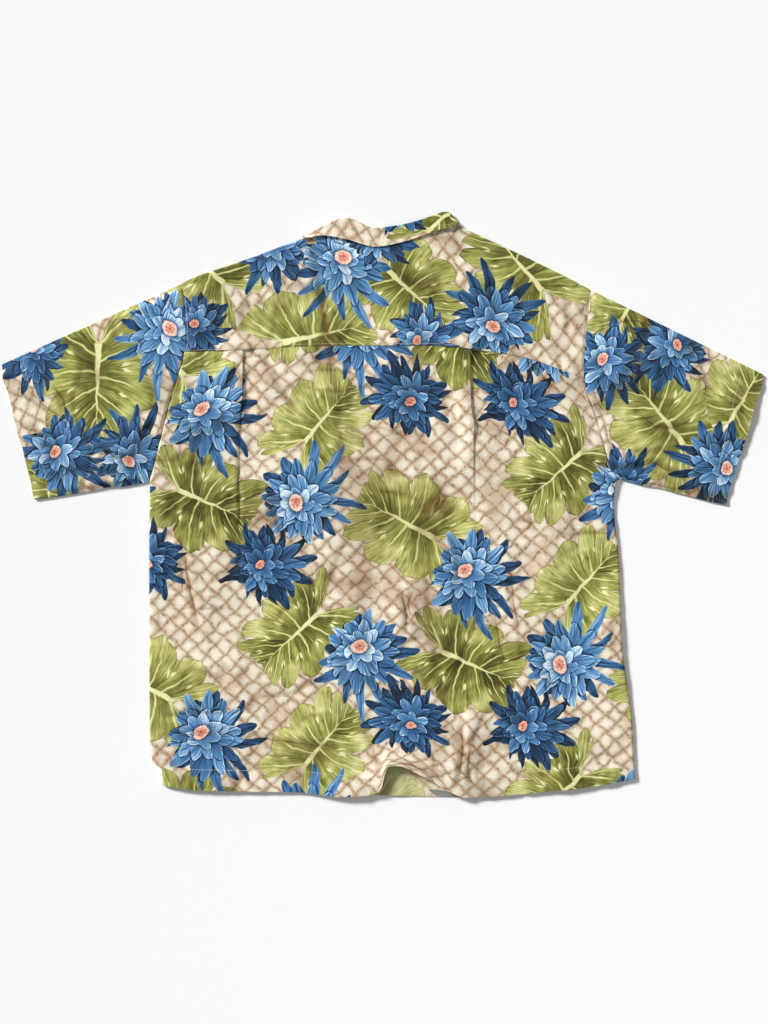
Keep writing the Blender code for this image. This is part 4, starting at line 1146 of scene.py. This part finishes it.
# The same on yoke, sleeves and collar, which are cut from other parts of the cloth. Left and right
# sleeves stand 0.6 m either side of their place on the shirt and the collar 0.3 m below it.
YOKE_PRINT = ((0.0240, 0.0290), 3, 2.4,
              ((-0.057, 0.336, 0.068, -60, 0), (0.154, 0.264, 0.064, 129, 0.30),
               (-0.153, 0.357, 0.055, -45, 0.5),
               (-0.905, 0.239, 0.066, -90, 0), (-0.948, 0.073, 0.060, 95, 0.3),
               (-1.088, 0.212, 0.052, -45, 0.6), (-0.950, 0.400, 0.062, 10, 0.1),
               (-1.160, 0.350, 0.060, 120, 0.4),
               (0.918, 0.203, 0.058, 19, 0.30), (1.070, 0.053, 0.062, -135, 0.25),
               (0.930, 0.380, 0.060, 60, 0.2), (1.150, 0.330, 0.062, -20, 0),
               (-0.020, -0.030, 0.060, 30, 0.2)),
              ((0.058, 0.236, 0.052, 60, 0.5), (-0.258, 0.248, 0.052, -20, 0.7),
               (-0.004, 0.378, 0.048, 30, 0.6),
               (-1.046, 0.077, 0.060, 39, 0.40), (-1.060, 0.460, 0.056, -60, 0.8),
               (1.003, 0.221, 0.058, -111, 0.55), (0.932, 0.036, 0.048, 150, 0.5),
               (1.040, 0.450, 0.058, 90, 0.8), (0.030, 0.118, 0.046, 20, 0.6)),
              ((-0.250, 0.338, 0.085, 47, 0.6), (0.198, 0.332, 0.085, 41, 0.4),
               (0.034, 0.306, 0.078, -133, 0.3), (-0.100, 0.238, 0.090, -78, 0),
               (-0.998, 0.186, 0.096, 179, 0.3), (-1.066, 0.022, 0.055, 180, 0.2),
               (-0.838, 0.318, 0.080, 60, 0.6), (-1.060, 0.330, 0.085, 30, 0.2),
               (0.996, 0.119, 0.090, 38, 0.2), (1.102, 0.147, 0.075, -30, 0),
               (0.948, 0.285, 0.062, -30, 0.6), (1.060, 0.360, 0.085, 120, 0.3),
               (0.098, 0.090, 0.075, -60, 0.4), (-0.170, -0.010, 0.080, 60, 0.3)))

BLUES = ((0, (0.002, 0.008, 0.018)), (0.22, (0.006, 0.028, 0.075)), (0.45, (0.024, 0.098, 0.235)),
         (0.68, (0.085, 0.240, 0.470)), (0.86, (0.260, 0.480, 0.725)), (1, (0.72, 0.86, 0.94)))
GREENS = ((0, (0.042, 0.046, 0.005)), (0.3, (0.150, 0.156, 0.022)), (0.6, (0.360, 0.368, 0.088)),
          (0.85, (0.620, 0.620, 0.225)), (1, (0.840, 0.830, 0.470)))
CORALS = ((0, (0.34, 0.08, 0.06)), (0.35, (0.70, 0.22, 0.15)), (0.65, (0.86, 0.46, 0.34)),
          (1, (0.95, 0.80, 0.68)))
SLEEVE_SLOPE = 0.42
CREAM = (0.855, 0.770, 0.600)
ROSE = (0.745, 0.595, 0.435)
TAN = (0.50, 0.355, 0.215)
PALE = (0.955, 0.915, 0.79)
CANE = (0.225, 0.118, 0.055)


def nearest(place, wide, tall, motifs):
    """Own coordinates of the motif nearest to a place: x and y over its radius, and its tone.

    `place` counts in repeats: whole numbers are the same spot of the print.
    """
    best, least = None, None
    for x, y, radius, turn, tone in motifs:
        u, v = (x / wide + 2 * y / tall) / 2, (x / wide - 2 * y / tall) / 2
        near = vector_node("ADD", place, (0.5 - u, 0.5 - v, 0))
        near = vector_node("FRACTION", near)
        near = vector_node("SUBTRACT", near, (0.5, 0.5, 0))
        c, s = math.cos(math.radians(turn)) / radius, math.sin(math.radians(turn)) / radius
        along = [(wide * c + tall / 2 * s, wide * c - tall / 2 * s, 0),
                 (-wide * s + tall / 2 * c, -wide * s - tall / 2 * c, 0)]
        own = join(*[vector_node("DOT_PRODUCT", near, row) for row in along])
        far = vector_node("LENGTH", own)
        own = vector_node("ADD", own, (0, 0, tone))
        if best is None:
            best, least = own, far
        else:
            closer = math_node("LESS_THAN", far, least)
            best = pick(closer, best, own, "VECTOR")
            least = far.least(least)
    return split(best)


def ring(angle, radius, count, length, width, bend, seed):
    """One ring of petals: how far inside a petal a point is, its share of the petal's length,
    its place across the petal and the petal's own random number."""
    around = angle * (count / (2 * math.pi))
    cell = around.floor()
    across = around - cell - 0.5
    own = dice(cell + seed)
    share = radius / own[0].scaled(0.34 * length, 0.76 * length)
    lean = own[1].scaled(bend * 1.6, -bend * 0.6)
    off = across - lean * share * share
    aside = off * radius * (2 * math.pi / count)
    half = share.most(0.0001).power(0.50) * (1 - share).most(0).power(0.58) * width
    past = (share - 0.97).most(0)
    return half - abs(aside) - past, share, aside, own[2]


def flower(x, y, tone, seed):
    """Many-petalled pointed flower seen from one side: coverage and colour."""
    lift = tone.scaled(-0.32, 0.01)
    value = cover = None
    radius = length_of(x, y).most(0.01)
    angle = math_node("ARCTAN2", y, x)
    lop = (x - y) / radius
    streak = noise(join(angle * 15, radius * 1.1), 1, 3, 0.55)
    open_side = tone.scaled(-0.17, 0.17)
    fan = tone.scaled(0.40, -0.36)
    for count, length, width, bend, base, rise, move, pale, ring_seed in (
            (15, 1.14, 0.310, 0.95, 0.24, 0.36, 0, 0.16, 3),
            (14, 0.92, 0.305, 0.45, 0.32, 0.40, 0.04, 0.22, 31),
            (11, 0.68, 0.295, 0.40, 0.40, 0.44, 0.10, 0.30, 67),
            (7, 0.43, 0.285, 0.35, 0.50, 0.44, 0.15, 0.42, 97)):
        if move:
            across, up = x + move, y - move * 0.8
            radius = length_of(across, up)
            angle = math_node("ARCTAN2", up, across)
            long = radius
        else:
            long = radius / (lop * open_side + 1)
        broad = width if move else (lop * fan + 1) * width
        inside, share, aside, own = ring(angle, long, count, length, broad, bend,
                                         tone.scaled(40, ring_seed + seed))
        shade = share.scaled(rise, base) + own.scaled(0.34, -0.17) + lift
        shade = shade + streak.scaled(0.90, -0.43)
        shade = shade + inside.step(0.030, 0.004, 0, pale) * aside.step(-0.02, 0.03, 0.3, 1)
        shade = shade - abs(aside).step(0.015, 0, 0, 0.15)
        if not move:
            shade = shade - share.step(0.70, 1, 0, 0.24)
        covers = inside.step(-0.006, 0.008)
        if value is None:
            value, cover = shade, covers
        else:
            value = value - inside.step(-0.080, 0, 0, 0.42)
            value = pick(covers, value, shade)
            cover = cover.most(covers)
    colour = ramp(value, BLUES)
    eye = noise(join(x, y), 24, 2)
    size = tone.scaled(-0.075, 0.180)
    flat = across * 0.8 + up * 0.6
    thin = (up * 0.8 - across * 0.6) * 1.35
    near = length_of(flat, thin)
    heart = near.step(0, 0.19, 0.20, 0.90) + eye.scaled(1.5, -0.75)
    colour = tint((near - size).step(0.10, 0, 0, 0.75), colour, BLUES[0][1])
    inside_eye = (near + eye.scaled(0.08, -0.04) - size).step(0.012, 0)
    return cover, tint(inside_eye, colour, ramp(heart, CORALS))


# A leaf's half width along its side ribs, by rib: -0.7 behind the stalk to 1.7 at the tip
LEAF_REACH = ((0, 0), (0.095, 0), (0.135, 0.18), (0.20, 0.38), (0.29, 0.58), (0.375, 0.75),
              (0.475, 0.83), (0.585, 0.68), (0.71, 0.43), (0.79, 0.27), (0.875, 0.13), (0.945, 0))
LOBES = 4.2            # lobes for each unit of rib


def leaf(x, y, tone):
    """Heart-shaped leaf with a lobed rim, its stalk below and its tip up: coverage and colour."""
    side = abs(x)
    hand = math_node("SIGN", x)
    low = y + 0.42 - side * side * 0.42
    fan = low + side * 1.32
    spread = side * 2.6 + fan.step(-0.02, 0.10, 0.03, 0.92)
    vein = fan / spread
    lobe = vein.scaled(LOBES, 0.50) + hand * 0.17
    cell = lobe.floor()
    across = lobe - cell - 0.5
    own = dice(cell * 2 + hand + tone.scaled(60, 11))
    point = abs(across).scaled(2)
    heart = ramp(vein.scaled(1 / 2.4, 0.7 / 2.4),
                 [(place, (half,) * 3) for place, half in LEAF_REACH])
    depth = own[1].scaled(0.26, 0.08)
    reach = heart * (own[0].scaled(0.14, 0.96) + point.scaled(-0.13, 0.05)
                     - point.power(5) * depth)
    fringe = noise(join(vein * 14, hand), 1, 1)
    inside = reach + fringe.scaled(0.08, -0.04) * heart - side - low.step(1.30, 1.5, 0, 0.2)
    share = side / reach.most(0.05)
    hatch = noise(join(vein * 70 + side * 4, side * 3 + hand * 7), 1, 2, 0.65)
    wash = noise(join(x, y), 3)
    value = share.step(0, 0.95, 0.24, 0.66) + (across * hand).scaled(0.14)
    value = value + own[2].scaled(0.20, -0.08) \
        + hatch.scaled(0.85, -0.40) * share.step(0, 0.4, 0.35, 1)
    value = value + wash.scaled(0.8, -0.40) + tone.scaled(-0.22, 0.06)
    value = value - inside.step(0.030, 0, 0, 0.30) \
        - point.step(0.74, 1, 0, 0.22) * share.step(0.25, 0.75, 0.3, 1)
    rib = abs(across) * spread * (1 / LOBES)
    ribs = rib.step(share.step(0, 0.9, 0.036, 0.012, "LINEAR"), 0.004) * share.step(0.88, 0.55)
    stem = (side + low.scaled(0.040)).step(0.058, 0.036) * low.step(-0.05, -0.01)
    small = abs(vein.scaled(LOBES * 3).fraction() - 0.5).step(0.11, 0.03) \
        * share.step(0.15, 0.4) * share.step(0.85, 0.5) * 0.35
    value = pick((ribs * 0.9).most(stem).most(small), value, hatch.scaled(0.25, 0.84))
    slit = abs(abs(across) - 0.42).step(0.075, 0.03) * abs(share - 0.56).step(0.09, 0.04)
    slit = slit * math_node("GREATER_THAN", own[1], 0.35)
    value = pick(slit * 0.90, value, 1.1)
    return inside.step(-0.006, 0.010), ramp(value, GREENS)


def lattice(cell, x, y, place):
    """Cream ground under a woven lattice of brown cane."""
    wander = noise(place, 60, 1)
    sway = noise(place, 26, 1)
    bend = wander.scaled(0.40, -0.20)
    tilt = sway.scaled(0.36, -0.18)
    # on the sleeves the lattice follows the sleeve's own length
    slope = x.step(-0.7, -0.6, SLEEVE_SLOPE, 0) - x.step(0.6, 0.7, 0, SLEEVE_SLOPE)
    across, up = (x + y * slope) * (1 / cell[0]), (y - x * slope) * (1 / cell[1])
    first = across + up + bend + tilt
    second = across - up - bend + tilt
    cells = [first.floor(), second.floor()]
    node = x.tree.nodes.new("ShaderNodeTexWhiteNoise")
    node.noise_dimensions = "2D"
    plug(node, "Vector", join(*cells))
    own = split(Field(x.tree, node.outputs["Color"]))
    a, b = (abs(line - whole - 0.5) for line, whole in zip((first, second), cells))
    grain = noise(place, 420, 3, 0.7)
    fine = noise(place, 170, 3, 0.6)
    brush, cross = (noise(join((x + y) * wide, (x - y) * tall))
                    for wide, tall in ((900, 150), (150, 900)))
    rough = fine.scaled(0.30, -0.15)
    round_off = length_of(a, b).scaled(0.36)
    edge = a.most(b) * 0.74 + round_off
    press = fine.step(0.36, 0.62, 0.45, 1)
    canes = [(off + rough).step(start, end) * part.scaled(0.60, 0.40) * press
             for off, start, end, part in ((a, 0.400, 0.485, own[1]), (b, 0.395, 0.480, own[2]))]
    # a second, thinner line runs beside some of the canes
    twins = [abs(off - beside).step(0.030, 0.006) * part.step(0.45, 0.60)
             * fine.step(start, end, 0, 0.50)
             for off, beside, part, start, end in ((a, 0.36, own[2], 0.48, 0.56),
                                                   (b, 0.35, own[1], 0.52, 0.44))]
    knot = (a * b).step(0.145, 0.220)
    dark = canes[0].most(canes[1]).most(twins[0].most(twins[1]).most(knot * 0.8))
    rim = (edge + rough * 0.5).step(0.26, 0.52) * own[0].scaled(0.55, 0.35)
    wash = noise(place, 14, 3, 0.6)
    warm = (own[0].scaled(0.90, -0.20) + wash.scaled(2, -0.90)).clamped()
    ground = tint(warm, CREAM, ROSE)
    for strokes, start, end in ((brush, 0.4, 0.6), (cross, 0.6, 0.4)):
        painted = strokes.step(0.50, 0.75, 0, 0.55) * own[1].step(start, end)
        ground = tint(painted, ground, ROSE)
    bright = (grain * edge.step(0.42, 0.10, 0.75, 1.25)).step(0.40, 0.70, 0, 0.7)
    ground = tint(bright, ground, PALE)
    ground = tint(rim.most(wash.step(0.52, 0.74, 0, 0.60)), ground, TAN)
    return tint((dark * grain.scaled(0.9, 0.34)).least(0.85), ground, CANE)


def printed(tree, layout):
    """The shirt's print on a piece's own flat coordinates."""
    cell, wide, tall, lower, upper, leaves = layout
    flat = add("UVMap", tree=tree, uv_map="cloth")
    across, up, _ = split(flat)
    wobble = noise(flat, 55, out=1)
    wobble = vector_node("MULTIPLY_ADD", wobble, (0.005, 0.005, 0), (-0.0025, -0.0025, 0))
    soft = vector_node("ADD", flat, wobble)
    place = join(*[vector_node("DOT_PRODUCT", soft, (0.5 / wide, slant / tall, 0))
                         for slant in (1, -1)])
    colour = lattice(cell, across, up, flat)
    cover, green = leaf(*nearest(place, wide, tall, leaves))
    colour = tint(cover, colour, green)
    for seed, motifs in ((0, lower), (200, upper)):
        cover, blue = flower(*nearest(place, wide, tall, motifs), seed)
        colour = tint(cover, colour, blue)
    return colour


# ---------------------------------------------------------------- sewing and buttons

STITCH = 2.4           # length of a stitch
STITCH_PITCH = 3
STITCH_HALF = 0.30  # half width of the thread
STITCH_RINGS = ((-1, 0.25), (-0.62, 0.86), (0, 1), (0.62, 0.86), (1, 0.25))  # along, width
STITCH_PROUD = 0.12  # how far the middle of the thread lies above the cloth
STITCH_SUNK = 0.20  # how much lower its ends lie
THREAD_SIDES = 6


def angles(count):
    """Angles of a full turn in even steps."""
    return [2 * math.pi * step / count for step in range(count)]


def tube_faces(first, rings, sides=THREAD_SIDES):
    """Faces of a closed tube whose points start at `first` and go ring by ring."""
    faces = []
    for low in range(first, first + (rings - 1) * sides, sides):
        for corner in range(sides):
            a, b = low + corner, low + (corner + 1) % sides
            faces.append((a, b, b + sides, a + sides))
    last = first + (rings - 1) * sides
    return faces + [tuple(range(first, first + sides))[::-1], tuple(range(last, last + sides))]


def stitches(name, cloth, runs):
    """One object with every stitch of a cloth, along runs of rows and columns of its grid."""
    points, faces = [], []
    for rows, columns in runs:
        place, normal = cloth.at(*np.broadcast_arrays(np.asarray(rows, float),
                                                      np.asarray(columns, float)))
        length = walked(place, 0)
        for index in range(int(length[-1] / STITCH_PITCH)):
            mid = (index + 0.5) * STITCH_PITCH
            centre, up, before, after = (
                np.array([np.interp(mid + off, length, line) for line in data.T])
                for data, off in ((place, 0), (normal, 0), (place, -0.8), (place, 0.8)))
            up, way = unit(up), unit(after - before)
            across = np.cross(up, way)
            way = way + across * (0.05 * math.sin(index * 12.9898))
            faces += tube_faces(len(points), len(STITCH_RINGS))
            for along, wide in STITCH_RINGS:
                for angle in angles(THREAD_SIDES):
                    points.append(centre + way * along * STITCH / 2
                                  + across * math.cos(angle) * STITCH_HALF * wide
                                  + up * (THICK / 2 + STITCH_PROUD - STITCH_SUNK * along * along
                                          + math.sin(angle) * STITCH_HALF * 0.7 * wide))
    return mesh_object(name, points, faces, THREAD, sharp=False)


# A button's section from its middle below to its middle above: radius, height, in millimetres
BUTTON_SECTION = ((0, 0.75), (2.9, 0.72), (3.5, 0.60), (3.9, 0.25), (4.5, 0.03), (5.1, 0.16),
                  (5.5, 0.62), (5.5, 1.30), (5.2, 1.80), (4.6, 2), (3, 1.96), (0, 1.94))
BUTTON_RINGS = 44
BUTTON_TURN = 48
HOLE_PLACE = 1.25      # of each hole's middle from both axes
HOLE_RADIUS = 0.62
HOLE_DEPTH = 0.62      # from either face
STRAND_HALF = 0.15     # half width of the button's thread
STRAND_PITCH = 0.28
STRAND_RINGS = 9


def button(index):
    """Four-hole shirt button lying face down, its thread across the holes."""
    y = BUTTON_TOP - index * BUTTON_PITCH
    profile = np.array(BUTTON_SECTION)
    reach = walked(profile, 0)
    fine = np.linspace(0, reach[-1], BUTTON_RINGS)
    radius, height = (np.interp(fine, reach, column) for column in profile.T)
    points = [(0, y, profile[0][1])]
    for r, z in zip(radius[1:-1], height[1:-1]):
        for angle in angles(BUTTON_TURN):
            px, py = r * math.cos(angle), r * math.sin(angle)
            hole = math.hypot(abs(px) - HOLE_PLACE, abs(py) - HOLE_PLACE)
            sink = HOLE_DEPTH * (1 - ease(hole, HOLE_RADIUS * 0.75, HOLE_RADIUS * 1.15))
            points.append((px, y + py, z + (sink if z < 1 else -sink)))
    points.append((0, y, profile[-1][1]))
    faces = []
    top = 1 + (BUTTON_RINGS - 3) * BUTTON_TURN
    for step in range(BUTTON_TURN):
        after = (step + 1) % BUTTON_TURN
        faces.append((0, 1 + after, 1 + step))
        for low in range(1, top, BUTTON_TURN):
            high = low + BUTTON_TURN
            faces.append((low + step, low + after, high + after, high + step))
        faces.append((top + step, top + after, len(points) - 1))
    thing = mesh_object(f"shirt_button_{index + 1}", points, faces, BUTTON)
    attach(thing, "root")
    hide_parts(f"button_{index + 1}")
    points, faces = [], []
    for middle in (-HOLE_PLACE, HOLE_PLACE):
        for strand in (-1, 0, 1):
            faces += tube_faces(len(points), STRAND_RINGS)
            for along in np.linspace(-1, 1, STRAND_RINGS):
                z = 0.74 - 0.30 * (1 - along * along) + 0.42 * ease(abs(along), 0.8, 1)
                for angle in angles(THREAD_SIDES):
                    points.append((middle + strand * STRAND_PITCH + STRAND_HALF * math.cos(angle),
                                   y + along * HOLE_PLACE, z + STRAND_HALF * math.sin(angle)))
    thread = mesh_object(f"button_thread_{index + 1}", points, faces, THREAD, sharp=False)
    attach(thread, "root")


# ---------------------------------------------------------------- materials

def node_group(name, output, kind, make, *values):
    """A node group with one output, which `make` works out."""
    group = bpy.data.node_groups.new(name, "ShaderNodeTree")
    group.interface.new_socket(output, in_out="OUTPUT", socket_type="NodeSocket" + kind)
    made = make(group, *values)
    out = group.nodes.new("NodeGroupOutput")
    group.links.new(made.socket, out.inputs[0])
    return group


def crease_shade_lines(group):
    """Painted shade: thin dark lines along the bottoms of the sharp creases, in the shirt's own
    plan.

    Cycles keeps 255 numbers at most for one material, so here nothing is left to its automatic
    conversions, which would all come last and wait for each other.
    """
    place = add("TexCoord", tree=group, out="Object")
    wander = group.nodes.new("ShaderNodeSeparateColor")
    plug(wander, 0, noise(place, 45, out=1))
    x, y, _ = split(place)
    place = join(*[line + Field(group, out).scaled(0.004, -0.002)
                          for line, out in zip((x, y), wander.outputs)])
    ragged = noise(place, 130)
    total = None
    for index, half in SHADE_LINE_CREASES.items():
        points = [np.array([*point, 0]) * MM for point in np.reshape(CREASES[index][:6], (3, 2))]
        least, ends = None, []
        for start, end in zip(points[:-1], points[1:]):
            way = end - start
            off = vector_node("SUBTRACT", place, tuple(start))
            along = vector_node("DOT_PRODUCT", off, tuple(way / way.dot(way))).clamped()
            reach = vector_node("SCALE", tuple(way), along, into=(0, "Scale"))
            far = vector_node("LENGTH", vector_node("SUBTRACT", off, reach))
            least = far if least is None else least.least(far)
            ends.append(along)
        line = (least - ragged.scaled(0.6 * half * MM, -0.3 * half * MM)) \
            .step(half * MM, 0.3 * half * MM)
        line = line * ends[0].step(0, 0.5, 0.15, 1) * ends[1].step(1, 0.3, 0, 1)
        total = line if total is None else total.most(line)
    return total * ragged.scaled(1.5, 0.40)


def new_material(name, inputs):
    """A material with plain values on its shader's sockets, its node tree and its shader."""
    material = bpy.data.materials.new(name)
    material.use_nodes = True
    shader = material.node_tree.nodes["Principled BSDF"]
    for slot, value in inputs.items():
        plug(shader, slot, value)
    return material, material.node_tree, shader


THREAD_NOISE = ((2600, 170), (170, 2600))  # of the warp and of the weft: across, up
WRONG_SIDE = (0.60, 0.57, 0.36)
WRONG_SHADE = (0.46, 0.45, 0.29)
PAINTED_SHADE_TINT = (0.40, 0.280, 0.180)  # times the print's colour where painted shade darkens it along the creases


def cloth_material(name, group, wrong):
    """Printed cotton: the print outside, or paler and duller on the wrong side, with painted shade
    along the creases.
    """
    material, tree, shader = new_material(
        name, {"Specular IOR Level": 0.32, "Sheen Weight": 0.12, "Sheen Roughness": 0.45})
    # painted crease shade and the painted dark crease lines come before the print, for the same
    # limit as in the node group of those lines
    line = add("Attribute", tree=tree, out="Fac", attribute_name="shade_and_wear")
    if not wrong:
        line = line.most(add("Group", tree=tree, node_tree=CREASE_SHADE_LINES))
    colour = add("Group", tree=tree, node_tree=group)
    flat = add("UVMap", tree=tree, uv_map="cloth")
    across, up, _ = split(flat)
    warp, weft = (noise(join(across * wide, up * tall)) for wide, tall in THREAD_NOISE)
    threads = warp * 0.5 + weft * 0.5
    slub = noise(join(across * 60, up * 900))
    shade_and_wear = noise(flat, 9, 3)
    if wrong:
        colour = tint(0.34, colour, WRONG_SIDE)
        colour = tint(shade_and_wear.step(0.35, 0.7, 0, 0.20), colour, WRONG_SHADE)
    # painted shade: the print darkens along the creases and in their bottom lines
    line = line * threads.scaled(0.8, 0.60)
    colour = tint(line, colour, vector_node("MULTIPLY", colour, PAINTED_SHADE_TINT))
    shade = tree.nodes.new("ShaderNodeHueSaturation")
    plug(shade, "Color", colour)
    plug(shade, "Value", threads.scaled(0.34, 0.83) + shade_and_wear.scaled(0.16, -0.08)
         + slub.scaled(0.10, -0.05))
    tree.links.new(shade.outputs[0], shader.inputs["Base Color"])
    plug(shader, "Roughness", threads.scaled(0.18, 0.70))
    bump = tree.nodes.new("ShaderNodeBump")
    plug(bump, "Strength", 0.5)
    plug(bump, "Distance", 0.00012)
    plug(bump, "Height", threads + slub * 0.4)
    tree.links.new(bump.outputs[0], shader.inputs["Normal"])
    return material


def plain_material(name, stops, scale, stretch, rough, bump_depth, inputs):
    """Material whose colour runs through `stops` by stretched noise in the object's own space."""
    material, tree, shader = new_material(name, {"Coat Roughness": 0.2, **inputs})
    scaled = vector_node("MULTIPLY", add("TexCoord", tree=tree, out="Object"), stretch)
    value = add("TexNoise", scaled, scale, 4, into=("Vector", "Scale", "Detail"))
    plug(shader, "Base Color", ramp(value, stops))
    plug(shader, "Roughness", value.scaled(rough[1] - rough[0], rough[0]))
    plug(shader, "Normal", add("Bump", 0.6, bump_depth, value,
                               into=("Strength", "Distance", "Height")))
    return material


# node group of the thin dark lines painted as shade in the crease bottoms
CREASE_SHADE_LINES = node_group("painted_crease_shade_lines", "Share", "Float", crease_shade_lines)
CLOTHS = {}
for word, layout in (("body", BODY_PRINT), ("yoke", YOKE_PRINT)):
    group = node_group("print_" + word, "Colour", "Color", printed, layout)
    CLOTHS[word] = [cloth_material(word + "_outside", group, False),
                    cloth_material(word + "_wrong_side", group, True)]
THREAD = plain_material("sewing_thread", ((0.3, (0.56, 0.48, 0.33)), (0.7, (0.78, 0.70, 0.54))),
                        2500, (1, 1, 1), (0.6, 0.8), 0.00008,
                        {"Specular IOR Level": 0.3, "Sheen Weight": 0.3})
BUTTON = plain_material("coconut_button", ((0.25, (0.16, 0.085, 0.040)), (0.5, (0.33, 0.19, 0.095)),
                                           (0.75, (0.50, 0.33, 0.18))),
                        600, (1, 0.25, 1), (0.25, 0.45), 0.00006,
                        {"Specular IOR Level": 0.5, "Coat Weight": 0.25})


# ---------------------------------------------------------------- making

# Every piece of cloth: its flat size in metres and what it rests on
SHEETS = {
    "back": ((0.72, 0.65), ["cloth_front_left", "cloth_front_right"]),
    "yoke": ((0.60, 0.26), ["cloth_back"]),
    "front_left": ((0.36, 0.77), ["floor"]),
    "sleeve_left": ((0.58, 0.25), ["floor"]),
    "front_right": ((0.36, 0.77), ["floor"]),
    "sleeve_right": ((0.58, 0.25), ["floor"]),
    "collar": ((0.52, 0.12), ["cloth_yoke"]),
}
SLEEVE_LENGTH = 215    # of a sleeve from armhole to cuff, for the row of its hem's stitches


def sewn(node, cloth):
    """Rows and columns of a cloth's grid along which it is stitched."""
    rows, columns = cloth.grid.shape[:2]
    if node == "back":
        arm = np.arange(PIT_ROW + 1, SEAM_ROW)
        return [(HEM_STEPS, np.arange(columns)), (arm, 4), (arm, columns - 5)]
    if node == "yoke":
        arm = np.arange(1, SEAM_STATION)
        return [(0.8, np.arange(columns)), (arm, 1), (arm, columns - 2)]
    if node == "collar":
        return [(np.arange(1, rows - 1), columns - 4.2)]
    depth = SLEEVE_STEPS * (1 - CUFF_BAND / SLEEVE_LENGTH)
    row = {"sleeve_left": SLEEVE_STEPS - depth, "sleeve_right": depth}.get(node, HEM_STEPS)
    return [(row, np.arange(columns))]


def cloth_area(cloth):
    """Area of a cloth's middle in square metres."""
    mesh = cloth.thing.data
    areas = np.zeros(len(mesh.polygons))
    mesh.polygons.foreach_get("area", areas)
    return areas.sum() / 2


cloths = {"back": back(), "yoke": yoke(), "front_left": front(-1), "front_right": front(+1),
          "sleeve_left": sleeve(-1), "sleeve_right": sleeve(+1), "collar": collar()}
for node, (flat, rests_on) in SHEETS.items():
    thing = cloths[node].thing
    sewing = [stitches("stitches_" + node, cloths[node], sewn(node, cloths[node]))]
    for material in CLOTHS["body" if node in ("back", "front_left", "front_right") else "yoke"]:
        thing.data.materials.append(material)
    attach(thing, "root")
    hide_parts(node)
    for piece in sewing:
        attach(piece, "root")
    cloth_area(cloths[node])
for index in range(BUTTON_COUNT):
    button(index)


# ---------------------------------------------------------------- floor, light, camera

FLOOR = 6              # metres from the middle to each side
FLOOR_DROP = 0.0004


def floor():
    """Plain pale floor under the shirt."""
    mesh = bpy.data.meshes.new("floor")
    corners = ((-1, -1), (1, -1), (1, 1), (-1, 1))
    mesh.from_pydata([(x * FLOOR, y * FLOOR, 0) for x, y in corners], [], [(0, 1, 2, 3)])
    thing = new_object("floor", mesh)
    mesh.materials.append(new_material("floor", {
        "Base Color": (0.93, 0.93, 0.93, 1), "Roughness": 0.9, "Specular IOR Level": 0.1})[0])
    thing.location.z = -FLOOR_DROP


def lamp(name, kind, place, size, power):
    """A light that shines on the middle of the floor."""
    data = bpy.data.lights.new(name, kind)
    data.energy = power
    if kind == "SUN":
        data.angle = size
    else:
        data.size = size
    thing = new_object(name, data)
    thing.location = place
    thing.rotation_euler = (-Vector(place)).to_track_quat("-Z", "Y").to_euler()


floor()
lamp("key", "SUN", (-2.3, 1.7, 1.38), math.radians(12), 5.2)
lamp("fill", "AREA", (0.6, -0.6, 3.4), 3, 14)
world = bpy.data.worlds.new("studio")
bpy.context.scene.world = world
world.use_nodes = True
world.node_tree.nodes["Background"].inputs["Color"].default_value = (1, 1, 1, 1)
world.node_tree.nodes["Background"].inputs["Strength"].default_value = 0.22

camera = bpy.data.cameras.new("camera")
camera.sensor_width = 36
camera.lens = 60.27
camera.clip_start, camera.clip_end = 0.1, 20
eye = new_object("camera", camera)
eye.location = (0.0021, -0.007, 2.4)
bpy.context.scene.camera = eye
bpy.context.scene.view_settings.view_transform = "Standard"
